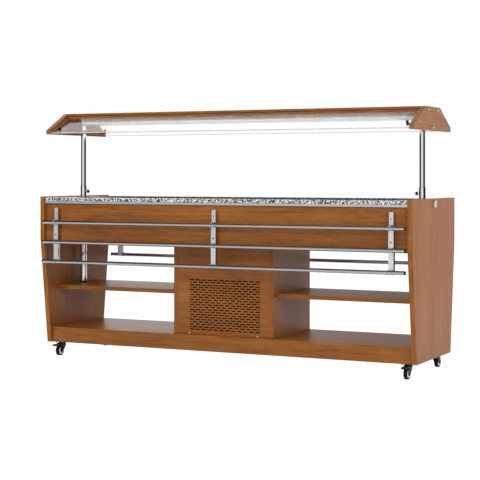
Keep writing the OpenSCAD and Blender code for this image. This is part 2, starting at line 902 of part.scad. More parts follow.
// Wall bracket on the +Y side: a face plate with two cheeks whose ears carry
// the top tube, and two stand-off bosses that take the wall screws
module wall_bracket() {
    t = 2;
    inner = plate_hw - t;
    boss_r = 7.5;
    head_bore = 4.2;
    key_r = 4.6;        // the screw hole in the face plate, two circles 5 apart
    spare_r = 2.6;
    difference() {
        union() {
            block([-plate_hw, plate_out - t, bracket_z[0]], [plate_hw, plate_out, bracket_z[1]]);
            for (x = [-plate_hw, inner]) {
                plate_x(x, t) polygon([
                    [fascia_y, bracket_z[0]], [plate_out - 1, bracket_z[0]],
                    [plate_out - 1, rail_z - 11], [rail_y, rail_z - 11],
                    [rail_y, rail_z + 11], [plate_out - 1, rail_z + 11],
                    [plate_out - 1, bracket_z[1]], [plate_out - 11, bracket_z[1]],
                    [plate_out - 11, rail_z + 24], [fascia_y, rail_z + 14]]);
                rod_x(x, x + t, rail_y, rail_z, ear_r);
            }
            for (z = fixing_zs) rod_y(fascia_y, plate_out - 1, 0, z, boss_r);
        }
        rod_x(-plate_hw - EPS, plate_hw + EPS, rail_y, rail_z, rail_r + RUN);
        for (z = fixing_zs) {
            rod_y(fascia_y + seat_t, plate_out + EPS, 0, z, head_bore);
            rod_y(fascia_y - EPS, fascia_y + seat_t + EPS, 0, z, shank_r + SEAT);
        }
        for (dz = [-2.5, 2.5])
            rod_y(plate_out - t - EPS, plate_out + EPS, 0, fixing_zs[0] + dz, key_r);
        rod_y(plate_out - t - EPS, plate_out + EPS, 0, spare_z, spare_r);
    }
}

module tray_brackets() {
    color(STEEL) both_y() for (x = bracket_xs) translate([x, 0, 0]) wall_bracket();
}

// Arm on the +Y side: a channel that straddles the wall bracket
module tray_arm() {
    t = arm_hw - arm_in_hw;
    top = rail_z - 14;
    web_top = rail_z - 21;
    access_r = 4.5;     // hole that reaches the lower wall screw
    difference() {
        union() {
            block([-arm_hw, arm_out - t, arm_foot], [arm_hw, arm_out, web_top]);
            for (x = [-arm_hw, arm_in_hw]) {
                plate_x(x, t) polygon([
                    [arm_back, arm_foot + 6], [arm_back + 8, arm_foot], [arm_out - 0.5, arm_foot],
                    [arm_out - 0.5, rail_z - 12], [rail_y, rail_z - 12],
                    [rail_y, rail_z + 3], [rail_y - 12, rail_z + 3],
                    [arm_out - 8, top], [arm_back + 6, top - 6], [arm_back, top - 14]]);
                for (i = [0:2]) rod_x(x, x + t, rail_y, rail_z - i * rail_pitch, ear_r);
                for (i = [1:2]) block(
                    [x, arm_out - 1, rail_z - i * rail_pitch - 9],
                    [x + t, rail_y, rail_z - i * rail_pitch + 9]);
            }
        }
        for (i = [0:2]) rod_x(-arm_hw - EPS, arm_hw + EPS, rail_y, rail_z - i * rail_pitch, rail_r);
        rod_y(arm_out - t - EPS, arm_out + EPS, 0, fixing_zs[1], access_r);
    }
}

module tray_arms() {
    color(STEEL) for (x = bracket_xs) translate([x, 0, 0]) tray_arm();
}

module back_tray_arms() {
    tray_arms();
}

module front_tray_arms() {
    mirror([0, 1, 0]) tray_arms();
}

// The three tubes with their end plugs. On the top tube sits a stop cam at each
// bracket, whose square corner meets the face plate just past level
module tray_tubes() {
    plug = 5;
    wall = 1.2;
    nose = rail_y - plate_out - 0.1;
    cam_t = 8;
    for (i = [0:2]) translate([0, rail_y, rail_z - i * rail_pitch]) {
        color(STEEL) rotate([0, 90, 0]) translate([0, 0, -rail_half + plug]) rotate_extrude() polygon([
            [rail_r - wall, 0], [rail_r, 0],
            [rail_r, 2 * (rail_half - plug)], [rail_r - wall, 2 * (rail_half - plug)]]);
        color(BLACK) both_x() translate([rail_half - plug, 0, 0]) rotate([0, 90, 0])
            rotate_extrude() polygon([
                [0, -14], [rail_r - wall, -14], [rail_r - wall, 0], [rail_r, 0],
                [rail_r, plug - 1], [rail_r - 1, plug], [0, plug]]);
    }
    color(STEEL) for (x = bracket_xs) difference() {
        translate([0, rail_y, rail_z]) plate_x(x - cam_t / 2, cam_t) union() {
            circle(r = rail_r + 1);
            square([8, nose]);
        }
        rod_x(x - cam_t, x + cam_t, rail_y, rail_z, rail_r - wall / 2);
    }
}

module back_tray_tubes() {
    tray_tubes();
}

module front_tray_tubes() {
    mirror([0, 1, 0]) tray_tubes();
}

// ---------------------------------------------------------------- screws

// A round-headed wood screw that points to -Y, its head's underside at the origin
module wood_screw(length) {
    head_r = 3.8;
    rotate([-90, 0, 0]) rotate_extrude() polygon([
        [0, -length], [shank_r, -length], [shank_r, 0], [head_r, 0],
        [head_r * 0.8, 1.3], [head_r * 0.4, 2], [0, 2.2]]);
}

module wood_screws() {
    color(CHROME) both_y() {
        for (x = [-panel_screw_x, panel_screw_x])
            translate([x, box_y - panel_back, panel_screw_z]) wood_screw(shank_l);
        for (x = bracket_xs, z = fixing_zs)
            translate([x, fascia_y + seat_t, z]) wood_screw(shank_l);
    }
}

// ---------------------------------------------------------------- casters

race_z = [69, 74.5];
crown_z = [61.5, 68.7];
race_r = 20;
pin_r = 6;
pin_foot = 57;
axle_z = wheel_r;
axle_r = 4;
cheek = [12, 14.5];
pedal_pin = [27, 62.5];
pedal_pin_r = 2.5;

module caster_plates() {
    color(BLACK) both_x() both_y() translate([caster_x, caster_y, 0]) {
        block([-30, -23, race_z[1]], [30, 30, caster_h]);
        rod_z(race_z[0], race_z[1] + EPS, 0, 0, race_r);
        rod_z(pin_foot, race_z[0] + EPS, 0, 0, pin_r);
        rod_z(pin_foot, crown_z[0] - 0.3, 0, 0, pin_r + 3);
    }
}

// Fork of a caster that trails toward +Y, its swivel pin at the origin
module fork(braked) {
    color(BLACK) difference() {
        union() {
            rod_z(crown_z[0], crown_z[1], 0, 0, race_r + 1);
            for (x = [-cheek[1], cheek[0]]) {
                plate_x(x, cheek[1] - cheek[0]) polygon([
                    [-16, crown_z[1]], [braked ? 34 : 20, crown_z[1]],
                    [braked ? 34 : 26, 60], [trail + 8, 50], [trail + 9.5, axle_z],
                    [trail, axle_z - 9.5], [8, 28], [-4, 39], [-16, 53]]);
                rod_x(x, x + cheek[1] - cheek[0], trail, axle_z, 10);
            }
            rod_x(-cheek[1] - 2, cheek[1] + 2, trail, axle_z, axle_r);
            for (x = [-cheek[1] - 2.5, cheek[1] - 0.5]) rod_x(x, x + 3, trail, axle_z, 6.5);
        }
        rod_z(crown_z[0] - EPS, crown_z[1] + EPS, 0, 0, pin_r + RUN);
        if (braked)
            rod_x(-cheek[1] - EPS, cheek[1] + EPS, pedal_pin[0], pedal_pin[1], pedal_pin_r + RUN);
    }
}

module wheel() {
    hw = wheel_w / 2;
    color(BLACK) translate([0, trail, axle_z]) rotate([0, 90, 0]) rotate_extrude() polygon([
        [axle_r + RUN, -hw], [9, -hw], [9.5, -hw + 2], [18, -hw + 2], [19, -hw],
        [wheel_r - 2.5, -hw], [wheel_r - 0.6, -hw + 1.6], [wheel_r, -hw + 4],
        [wheel_r, hw - 4], [wheel_r - 0.6, hw - 1.6], [wheel_r - 2.5, hw],
        [19, hw], [18, hw - 2], [9.5, hw - 2], [9, hw], [axle_r + RUN, hw]]);
}

module brake() {
    hw = 11;
    color(BLACK) {
        rod_x(-hw, hw, pedal_pin[0], pedal_pin[1], 4);
        rod_x(-cheek[1], cheek[1], pedal_pin[0], pedal_pin[1], pedal_pin_r);
        block([-hw, pedal_pin[0], 60.5], [hw, 52, 64.5]);
        plate_x(-14, 28) polygon([
            [46, 58.5], [69, 55.5], [74, 56.2], [76, 59], [74, 62.6], [62, 66], [46, 64.5]]);
        block([-hw, 32, 56.4], [hw, 40, 61]);
    }
}

module at_back_right() {
    translate([caster_x, caster_y, 0]) children();
}
module at_back_left() {
    translate([-caster_x, caster_y, 0]) children();
}
module at_front_right() {
    mirror([0, 1, 0]) at_back_right() children();
}
module at_front_left() {
    mirror([0, 1, 0]) at_back_left() children();
}

module fork_front_left() { at_front_left() fork(true); }
module fork_front_right() { at_front_right() fork(true); }
module fork_back_left() { at_back_left() fork(false); }
module fork_back_right() { at_back_right() fork(false); }
module wheel_front_left() { at_front_left() wheel(); }
module wheel_front_right() { at_front_right() wheel(); }
module wheel_back_left() { at_back_left() wheel(); }
module wheel_back_right() { at_back_right() wheel(); }
module brake_front_left() { at_front_left() brake(); }
module brake_front_right() { at_front_right() brake(); }

// ---------------------------------------------------------------- nodes

end_panel_left();
end_panel_right();
base_deck();
plinths();
shelves();
fascia_front();
fascia_back();
box_sides();
grille_front();
grille_back();
worktop();
worktop_rails();
end_panel_caps();
wood_screws();
well_liner();
well_casing();
drain_pipe();
compressor();
condenser();
fan_motor();
fan_blade();
unit_tray();
copper_pipes();
control_plate();
thermostat_knob();
power_switch();
cable_gland();
post_sleeves();
post_collars();
canopy_posts();
post_brackets();
canopy_end_left();
canopy_end_right();
canopy_top();
glass_front();
glass_back();
glass_holders();
lamp_housing();
led_strip();
lamp_diffuser();
canopy_caps();
thumbscrew_left();
thumbscrew_right();
tray_brackets();
front_tray_arms();
front_tray_tubes();
back_tray_arms();
back_tray_tubes();
caster_plates();
fork_front_left();
fork_front_right();
fork_back_left();
fork_back_right();
wheel_front_left();
wheel_front_right();
wheel_back_left();
wheel_back_right();
brake_front_left();
brake_front_right();
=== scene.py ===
import json
import math

import bmesh
import bpy
from mathutils import Euler, Matrix, Vector


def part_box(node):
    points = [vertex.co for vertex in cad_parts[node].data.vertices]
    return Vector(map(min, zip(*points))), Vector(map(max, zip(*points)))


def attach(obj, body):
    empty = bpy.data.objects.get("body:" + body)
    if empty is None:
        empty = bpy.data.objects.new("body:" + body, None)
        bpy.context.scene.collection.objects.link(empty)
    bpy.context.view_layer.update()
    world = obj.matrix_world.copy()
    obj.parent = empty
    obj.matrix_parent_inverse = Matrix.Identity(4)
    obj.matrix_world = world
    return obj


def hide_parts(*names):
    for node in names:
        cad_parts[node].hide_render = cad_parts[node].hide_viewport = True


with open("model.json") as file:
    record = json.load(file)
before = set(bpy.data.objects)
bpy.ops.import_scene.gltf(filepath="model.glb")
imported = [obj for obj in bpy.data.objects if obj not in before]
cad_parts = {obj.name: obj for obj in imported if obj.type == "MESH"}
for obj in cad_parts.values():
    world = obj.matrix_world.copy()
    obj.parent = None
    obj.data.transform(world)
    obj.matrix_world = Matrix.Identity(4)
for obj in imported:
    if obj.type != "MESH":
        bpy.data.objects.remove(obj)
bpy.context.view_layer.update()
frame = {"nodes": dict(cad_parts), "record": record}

# A piece's places and sizes are in millimetres, in the row frame. What Blender itself takes,
# such as the camera, the lamps and a texture's scale, is in metres.

NODES = frame["nodes"]
RECORD = frame["record"]
BODY_OF = {node: body for body, nodes in RECORD["behaviour"]["bodies"].items() for node in nodes}
MM = 0.001
ALONG, BACK, UP = (1, 0, 0), (0, 1, 0), (0, 0, 1)
SIDES = (-1, 1)

# ---------------------------------------------------------------- the view

PHOTO_SIZE = 480            # pixels, both ways
HORIZON_ROW = 173.25        # pixel row that lies level with the camera
FOCAL_PIXELS = 1364.7       # focal length, in pixels of the photograph
SENSOR = 36.0
CAMERA_PLACE = Vector((3.2399, -6.6383, 1.0156))    # metres
CAMERA_TURN = math.radians(26.13)


def make_camera():
    """The photograph's camera: level, with the view shifted down."""
    lens = bpy.data.cameras.new("photo_camera")
    lens.sensor_width = SENSOR
    lens.lens = FOCAL_PIXELS * SENSOR / PHOTO_SIZE
    lens.shift_y = -(PHOTO_SIZE / 2 - HORIZON_ROW) / PHOTO_SIZE
    lens.clip_end = 60
    camera = bpy.data.objects.new("photo_camera", lens)
    camera.location = CAMERA_PLACE
    camera.rotation_euler = (math.radians(90), 0, CAMERA_TURN)
    bpy.context.scene.collection.objects.link(camera)
    bpy.context.scene.camera = camera


# ---------------------------------------------------------------- node tools


def srgb(red, green, blue):
    """A colour as it looks on screen, 0 to 255, as linear light."""
    def linear(value):
        share = value / 255
        return share / 12.92 if share < 0.04045 else ((share + 0.055) / 1.055) ** 2.4
    return (linear(red), linear(green), linear(blue), 1.0)


def wire(tree, value, socket):
    """Links a socket to a socket, or sets the socket to a plain value."""
    if isinstance(value, bpy.types.NodeSocket):
        tree.links.new(value, socket)
    else:
        socket.default_value = value


def add(tree, kind, settings=None, **inputs):
    """Adds a node, with its settings by name and its inputs by socket name."""
    node = tree.nodes.new(kind)
    for name, value in (settings or {}).items():
        setattr(node, name, value)
    for name, value in inputs.items():
        wire(tree, value, node.inputs[name.replace("_", " ")])
    return node


def maths(tree, operation, *values, clamp=False):
    """A Math node's result."""
    node = add(tree, "ShaderNodeMath", {"operation": operation, "use_clamp": clamp})
    for value, socket in zip(values, node.inputs):
        wire(tree, value, socket)
    return node.outputs[0]


def times(tree, first, second):
    """Two values multiplied."""
    return maths(tree, "MULTIPLY", first, second)


def less(tree, first, second):
    """The first value less the second."""
    return maths(tree, "SUBTRACT", first, second)


def span(tree, value, low, high, to_low=0.0, to_high=1.0):
    """Maps a value's range from low..high to another one, clamped."""
    node = add(tree, "ShaderNodeMapRange", {"clamp": True}, Value=value, From_Min=low,
               From_Max=high, To_Min=to_low, To_Max=to_high)
    return node.outputs["Result"]


def mix(tree, share, low, high):
    """One colour over another."""
    node = add(tree, "ShaderNodeMix", {"data_type": "RGBA", "blend_type": "MIX"})
    for value, socket in ((share, 0), (low, 6), (high, 7)):
        wire(tree, value, node.inputs[socket])
    return node.outputs[2]


def noise(tree, place, scale, detail=2.0, roughness=0.5, distortion=0.0):
    """Smooth noise from 0 to 1."""
    node = add(tree, "ShaderNodeTexNoise", Vector=place, Scale=scale, Detail=detail,
               Roughness=roughness, Distortion=distortion)
    return node.outputs["Factor"] if "Factor" in node.outputs else node.outputs["Fac"]


def cells(tree, place, scale, channel):
    """A random value for each crystal or grain."""
    grains = add(tree, "ShaderNodeTexVoronoi", {"feature": "F1"}, Vector=place, Scale=scale)
    return add(tree, "ShaderNodeSeparateColor", Color=grains.outputs["Color"]).outputs[channel]


def stretched(tree, place, scale=(1, 1, 1), turn=(0, 0, 0), shift=(0, 0, 0)):
    """Coordinates stretched, then turned by degrees, then shifted."""
    node = add(tree, "ShaderNodeMapping", {"vector_type": "POINT"}, Vector=place,
               Location=shift, Rotation=Euler([math.radians(a) for a in turn]), Scale=scale)
    return node.outputs["Vector"]


def object_place(tree):
    """Object coordinates, which are metres in the row frame."""
    return add(tree, "ShaderNodeTexCoord").outputs["Object"]


def new_group(name, inputs, outputs):
    """A shader group with named sockets: its tree, what it takes and what it gives."""
    tree = bpy.data.node_groups.new(name, "ShaderNodeTree")
    kinds = {"vector": "NodeSocketVector", "value": "NodeSocketFloat", "colour": "NodeSocketColor"}
    for direction, sockets in (("INPUT", inputs), ("OUTPUT", outputs)):
        for label, kind, default in sockets:
            socket = tree.interface.new_socket(label, in_out=direction, socket_type=kinds[kind])
            if default is not None:
                socket.default_value = default
    return tree, tree.nodes.new("NodeGroupInput").outputs, tree.nodes.new("NodeGroupOutput").inputs


def place_group(tree, group, **inputs):
    """Puts a shader group in a tree, with its inputs by name, and returns its outputs."""
    return add(tree, "ShaderNodeGroup", {"node_tree": group}, **inputs).outputs


MATERIALS = {}


def new_material(name, **inputs):
    """Keeps a material with one Principled BSDF; returns its node tree and that shader's inputs."""
    MATERIALS[name] = bpy.data.materials.new(name)
    MATERIALS[name].use_nodes = True
    tree = MATERIALS[name].node_tree
    shader = tree.nodes["Principled BSDF"]
    for label, value in inputs.items():
        shader.inputs[label.replace("_", " ")].default_value = value
    return tree, shader.inputs


def bump(tree, shader, height, strength, distance):
    """Feeds a height, with its distance in metres, into the shader's normal."""
    node = add(tree, "ShaderNodeBump", Strength=strength, Distance=distance, Height=height)
    wire(tree, node.outputs["Normal"], shader["Normal"])


# ---------------------------------------------------------------- shared effects

BLACK, WHITE = (0, 0, 0, 1), (1, 1, 1, 1)
PORE_BROWN = (0.03, 0.010, 0.004, 1)


def make_wood_figure():
    """Veneer with its grain along X: drifting tone, streaks, mottle, fibres and pores."""
    tree, take, give = new_group("wood_figure", [
        ("Place", "vector", None), ("Dark", "colour", BLACK), ("Light", "colour", WHITE),
        ("Red", "colour", WHITE), ("Figure", "value", 1.0)],
        [("Color", "colour", None), ("Roughness", "value", None), ("Height", "value", None)])

    def layer(scale, detail, roughness=0.5, distortion=0.0, shift=(0, 0, 0)):
        place = stretched(tree, take["Place"], scale, shift=shift)
        return noise(tree, place, 1.0, detail, roughness, distortion)

    drift = layer((0.9, 5.5, 5.5), 2)
    streaks = layer((2.6, 84, 84), 3, 0.62, 0.35)
    mottle = layer((12, 70, 70), 2, 0.5, 0.8)
    fibre = layer((10, 460, 460), 2)
    fleck = layer((34, 700, 700), 1)
    tone = times(tree, drift, 0.34)
    for figure, share in ((streaks, 0.52), (mottle, 0.34), (fibre, 0.30)):
        tone = maths(tree, "ADD", tone, times(tree, figure, share))
    tone = less(tree, span(tree, tone, 0.56, 0.95), 0.5)
    tone = maths(tree, "MULTIPLY_ADD", tone, take["Figure"], 0.5)
    colour = mix(tree, tone, take["Dark"], take["Light"])
    warmth = span(tree, layer((4, 24, 24), 2, shift=(3, 1, 2)), 0.48, 0.72)
    colour = mix(tree, times(tree, warmth, 0.55), colour, take["Red"])
    pores = span(tree, fleck, 0.63, 0.74)
    dark_pores = times(tree, pores, times(tree, take["Figure"], 0.35))
    wire(tree, mix(tree, dark_pores, colour, PORE_BROWN), give["Color"])
    wire(tree, span(tree, fibre, 0.3, 0.7, 0.34, 0.44), give["Roughness"])
    height = maths(tree, "MULTIPLY_ADD", fibre, 0.5, times(tree, pores, -0.5))
    wire(tree, height, give["Height"])
    return tree


def make_smudges():
    """Fingerprints and wiped streaks: a roughness that wanders about a middle value."""
    tree, take, give = new_group("smudges", [
        ("Place", "vector", None), ("Middle", "value", 0.3), ("Spread", "value", 0.1),
        ("Size", "value", 9.0)], [("Roughness", "value", None), ("Mask", "value", None)])
    cloud = noise(tree, take["Place"], take["Size"], 4, 0.6, 0.6)
    fine = noise(tree, take["Place"], times(tree, take["Size"], 14.0), 2, 0.5)
    mask = span(tree, maths(tree, "MULTIPLY_ADD", fine, 0.25, cloud), 0.42, 0.78)
    wire(tree, mask, give["Mask"])
    offset = times(tree, less(tree, mask, 0.5), take["Spread"])
    wire(tree, maths(tree, "ADD", take["Middle"], offset, clamp=True), give["Roughness"])
    return tree


def make_brushing():
    """Fine parallel brush marks along X, as a height and a streaky shade."""
    tree, take, give = new_group("brushing", [
        ("Place", "vector", None), ("Fineness", "value", 900.0)],
        [("Height", "value", None), ("Shade", "value", None)])
    drawn_out = stretched(tree, take["Place"], (0.012, 1, 1))
    lines = noise(tree, drawn_out, take["Fineness"], 3, 0.7)
    wire(tree, lines, give["Height"])
    wire(tree, span(tree, lines, 0.25, 0.75), give["Shade"])
    return tree


def make_edge_rub():
    """Where edges and corners rub: a mask that is 1 on a worn edge and 0 on the flats."""
    tree, take, give = new_group("edge_rub", [
        ("Place", "vector", None), ("Sharpness", "value", 0.5)], [("Mask", "value", None)])
    curve = add(tree, "ShaderNodeNewGeometry").outputs["Pointiness"]
    patchy = noise(tree, take["Place"], 60.0, 3, 0.6)
    edge = times(tree, span(tree, curve, 0.52, 0.60), span(tree, patchy, 0.4, 0.65))
    wire(tree, times(tree, edge, take["Sharpness"]), give["Mask"])
    return tree


WOOD_FIGURE = make_wood_figure()
SMUDGES = make_smudges()
BRUSHING = make_brushing()
EDGE_RUB = make_edge_rub()

# ---------------------------------------------------------------- materials

GRAIN_X, GRAIN_Y, GRAIN_Z = (0, 0, 0), (0, 0, 90), (0, 90, 0)
WOOD_DARK = srgb(92, 46, 12)
WOOD_LIGHT = srgb(172, 106, 30)
WOOD_RED = srgb(138, 72, 28)
BAND_SHIFT = (1.73, 0.91, 2.37)     # metres from the faces' figure to the banding's
WORN_EDGE = (0.30, 0.30, 0.31, 1)


def veneer(name, turn, shift=(0, 0, 0), figure=1.0):
    """Satin-lacquered veneer, its grain along X before the turn, cut from a place by a shift."""
    tree, shader = new_material(name, IOR=1.42)
    place = stretched(tree, object_place(tree), turn=turn, shift=shift)
    wood = place_group(tree, WOOD_FIGURE, Place=place, Dark=WOOD_DARK, Light=WOOD_LIGHT,
                       Red=WOOD_RED, Figure=figure)
    wire(tree, wood["Color"], shader["Base Color"])
    wire(tree, wood["Roughness"], shader["Roughness"])
    bump(tree, shader, wood["Height"], 0.10, 0.0002)


def metal(name, colour, rough, spread=0.08, turn=None, brushed=0.0, size=9.0, metallic=1.0):
    """Bare or plated metal with smudges, and brush marks where it has them."""
    tree, shader = new_material(name, Metallic=metallic, Base_Color=colour)
    place = object_place(tree)
    marks = place_group(tree, SMUDGES, Place=place, Middle=rough, Spread=spread, Size=size)
    wire(tree, marks["Roughness"], shader["Roughness"])
    if turn is not None:
        lines = place_group(tree, BRUSHING, Place=stretched(tree, place, turn=turn))
        darker = tuple(c * 0.86 for c in colour[:3]) + (1,)
        wire(tree, mix(tree, lines["Shade"], darker, colour), shader["Base Color"])
        bump(tree, shader, lines["Height"], brushed, 0.0001)


def moulded(name, colour, rough, grain=0.15, rub=0.0, gloss=0.5):
    """Moulded plastic, paint or rubber: a fine grain, slight variation and rubbed edges."""
    tree, shader = new_material(name, IOR=1.48, Specular_IOR_Level=gloss)
    place = object_place(tree)
    marks = place_group(tree, SMUDGES, Place=place, Middle=rough, Spread=0.12, Size=30.0)
    lighter = tuple(min(1, c * 1.35 + 0.004) for c in colour[:3]) + (1,)
    shade = mix(tree, marks["Mask"], colour, lighter)
    if rub:
        worn = place_group(tree, EDGE_RUB, Place=place, Sharpness=rub)
        shade = mix(tree, worn["Mask"], shade, WORN_EDGE)
    wire(tree, shade, shader["Base Color"])
    wire(tree, marks["Roughness"], shader["Roughness"])
    bump(tree, shader, noise(tree, place, 1400.0, 2, 0.5), grain, 0.0001)


GRANITE_STOPS = [       # share of the grains at which each colour starts
    (0.0, srgb(20, 21, 23)), (0.26, srgb(88, 90, 94)), (0.42, srgb(150, 152, 155)),
    (0.58, srgb(226, 226, 225)), (0.93, srgb(168, 160, 152))]
# near black: painted shade, mixed into the granite on the well opening's faces
WELL_SHADE = (0.008, 0.008, 0.009, 1)


def granite(name, lit_share):
    """Granite: pale feldspar with clustered grey quartz and black mica, mixed towards a near-black painted
    shade as its lit share falls below 1.
    """
    tree, shader = new_material(name, IOR=1.5)
    place = object_place(tree)
    wander = add(tree, "ShaderNodeTexNoise", Vector=place, Scale=75.0, Detail=3.0)
    warped = add(tree, "ShaderNodeVectorMath", {"operation": "MULTIPLY_ADD"})
    for value, socket in zip((wander.outputs["Color"], (0.016, 0.016, 0.016), place), warped.inputs):
        wire(tree, value, socket)
    pick = cells(tree, warped.outputs[0], 165.0, "Red")
    clusters = less(tree, noise(tree, place, 38.0, 3, 0.6, 1.2), 0.5)
    pick = maths(tree, "MULTIPLY_ADD", clusters, 1.5, pick, clamp=True)
    ramp = add(tree, "ShaderNodeValToRGB", Fac=pick)
    ramp.color_ramp.interpolation = "CONSTANT"
    set_stops(ramp, GRANITE_STOPS)
    colour = mix(tree, 1 - lit_share, ramp.outputs["Color"], WELL_SHADE)
    wire(tree, colour, shader["Base Color"])
    marks = place_group(tree, SMUDGES, Place=place, Middle=0.16, Spread=0.1, Size=12.0)
    wire(tree, marks["Roughness"], shader["Roughness"])


def set_stops(ramp, stops):
    """Gives a ramp, which starts with two stops, its places and colours."""
    elements = ramp.color_ramp.elements
    elements[0].position, elements[0].color = stops[0]
    elements[1].position, elements[1].color = stops[1]
    for position, colour in stops[2:]:
        elements.new(position).color = colour


def clear_glass(name, colour, rough):
    """Float glass with a few smudges."""
    tree, shader = new_material(name, IOR=1.45, Transmission_Weight=1.0, Base_Color=colour)
    marks = place_group(tree, SMUDGES, Place=object_place(tree), Middle=rough, Spread=rough, Size=6.0)
    wire(tree, marks["Roughness"], shader["Roughness"])


def galvanised(name, dull, bright):
    """Hot-dip zinc: a patchwork of crystals that differ a little in shade and gloss."""
    tree, shader = new_material(name, Metallic=1.0)
    pick = cells(tree, object_place(tree), 140.0, "Green")
    wire(tree, mix(tree, pick, dull, bright), shader["Base Color"])
    wire(tree, span(tree, pick, 0, 1, 0.38, 0.55), shader["Roughness"])


veneer("veneer_x", GRAIN_X, figure=0.8)
veneer("veneer_y", GRAIN_Y)
veneer("veneer_z", GRAIN_Z, figure=0.6)
veneer("band_x", GRAIN_X, BAND_SHIFT, 0.7)
veneer("band_y", GRAIN_Y, BAND_SHIFT, 0.7)
veneer("band_z", GRAIN_Z, BAND_SHIFT, 0.7)
# dark brown painted shade, for the roof board's grooves and the vent slots' walls
moulded("groove", srgb(46, 26, 12), 0.6)
granite("granite", 1.0)
# the well opening's faces: granite mostly painted over with shade
granite("granite_cut", 0.22)
metal("satin_steel", (0.70, 0.71, 0.72, 1), 0.30, turn=GRAIN_X, brushed=0.12)
metal("bracket_steel", (0.88, 0.88, 0.88, 1), 0.30, turn=GRAIN_Z, brushed=0.15)
metal("tube_steel", (0.52, 0.54, 0.56, 1), 0.17, turn=GRAIN_X, brushed=0.03)
metal("chrome", (0.74, 0.75, 0.76, 1), 0.04, spread=0.04)
metal("alloy", (0.75, 0.76, 0.77, 1), 0.42)
metal("cap_steel", (0.74, 0.75, 0.76, 1), 0.24, turn=GRAIN_Y, brushed=0.10)
metal("screw", (0.90, 0.90, 0.90, 1), 0.34, size=60.0, metallic=0.3)
metal("dark_zinc", (0.09, 0.09, 0.095, 1), 0.38, size=60.0)
galvanised("galvanised", (0.42, 0.43, 0.45, 1), (0.66, 0.67, 0.69, 1))
metal("copper", srgb(196, 124, 84), 0.35, spread=0.2, size=20.0)
moulded("grey_paint", srgb(196, 196, 194), 0.42)
moulded("saddle_paint", srgb(132, 124, 120), 0.45)
# mid grey painted shade for the lamp housing's underside
moulded("dark_paint", srgb(70, 70, 71), 0.42)
moulded("black_paint", srgb(9, 9, 10), 0.36, rub=0.25, gloss=0.2)
moulded("black_plastic", srgb(10, 10, 11), 0.44, rub=0.2, gloss=0.25)
moulded("black_gloss", srgb(16, 16, 17), 0.16, grain=0.02)
moulded("rubber", srgb(8, 8, 9), 0.62, gloss=0.2)
moulded("hub_grey", srgb(206, 206, 204), 0.36)
moulded("white_plastic", srgb(232, 232, 230), 0.45)
moulded("phosphor", srgb(232, 206, 92), 0.5)
moulded("casing", srgb(188, 188, 186), 0.5)
moulded("opal", srgb(236, 236, 234), 0.35, grain=0.03)
clear_glass("clear_glass", (0.975, 0.99, 0.985, 1), 0.015)
# opaque brownish grey for the panes' edges: painted refraction of the wood and painted highlight
moulded("glass_edge", srgb(196, 184, 177), 0.3, grain=0.05)

# ---------------------------------------------------------------- mesh tools

SHARP_TURN = math.radians(40)       # edges that turn more than this are rounded


def bevel(bm, edges, width):
    """Rounds edges with two faces each."""
    bmesh.ops.bevel(bm, geom=edges, offset=width * MM, offset_type="OFFSET", segments=2,
                    profile=0.5, affect="EDGES", clamp_overlap=True)


def softened(node, rounding, shortest):
    """A CAD node's shape, its flats made whole and its longer sharp edges rounded."""
    bm = bmesh.new()
    bm.from_mesh(NODES[node].data)
    bmesh.ops.remove_doubles(bm, verts=bm.verts, dist=2e-6)
    bmesh.ops.dissolve_limit(bm, angle_limit=math.radians(0.5), verts=bm.verts, edges=bm.edges)
    bevel(bm, [e for e in bm.edges if len(e.link_faces) == 2 and e.calc_length() > shortest * MM
               and e.calc_face_angle() > SHARP_TURN], rounding)
    return bm


def add_faces(bm, rings, closed=False):
    """Skins rings of points with faces; a ring of one point is a pole."""
    rows = [[bm.verts.new(Vector(p) * MM) for p in ring] for ring in rings]
    pairs = list(zip(rows, rows[1:])) + ([(rows[-1], rows[0])] if closed else [])
    for low, high in pairs:
        count = max(len(low), len(high))
        for i in range(count if count > 1 else 0):
            j = (i + 1) % count
            if len(low) == 1:
                bm.faces.new((low[0], high[j], high[i]))
            elif len(high) == 1:
                bm.faces.new((low[i], low[j], high[0]))
            else:
                bm.faces.new((low[i], low[j], high[j], high[i]))
    return rows


def lathe(bm, profile, place, axis, steps=48, closed=False, ridges=None):
    """Turns (radius, along) pairs about an axis through a place.

    Ridges are a number of scallops round the shape and their depth."""
    turn = Vector(UP).rotation_difference(Vector(axis)).to_matrix()
    count, depth = ridges or (1, 0.0)
    rings = []
    for radius, along in profile:
        ring = []
        for angle in [0] if radius == 0 else [math.tau * i / steps for i in range(steps)]:
            scallop = depth * abs(math.cos(count * angle / 2)) ** 3 if radius > depth else 0
            reach = radius - scallop
            point = Vector((reach * math.cos(angle), reach * math.sin(angle), along))
            ring.append(Vector(place) + turn @ point)
        rings.append(ring)
    add_faces(bm, rings, closed)


def arc(centre, radius, start, end, steps=6):
    """Points on an arc, in the profile's own plane, angles in degrees."""
    angles = [math.radians(start + (end - start) * i / steps) for i in range(steps + 1)]
    return [(centre[0] + radius * math.cos(a), centre[1] + radius * math.sin(a)) for a in angles]


def block(bm, low, high, radius=0.0):
    """A box between two corners, its edges rounded where it has a radius."""
    size, centre = Vector(high) - Vector(low), (Vector(high) + Vector(low)) / 2
    verts = bmesh.ops.create_cube(bm, size=1.0)["verts"]
    for vert in verts:
        vert.co = (vert.co * size + centre) * MM
    if radius:
        bevel(bm, [e for e in bm.edges if e.verts[0] in verts], radius)


def prism(bm, outline, low, high, axis):
    """An outline extruded along an axis; the outline is drawn in the other two."""
    first, second = [i for i in range(3) if i != axis]
    rings = []
    for level in (low, high):
        ring = []
        for u, v in outline:
            point = [0.0, 0.0, 0.0]
            point[axis], point[first], point[second] = level, u, v
            ring.append(point)
        rings.append(ring)
    for row in add_faces(bm, rings):
        bm.faces.new(row)


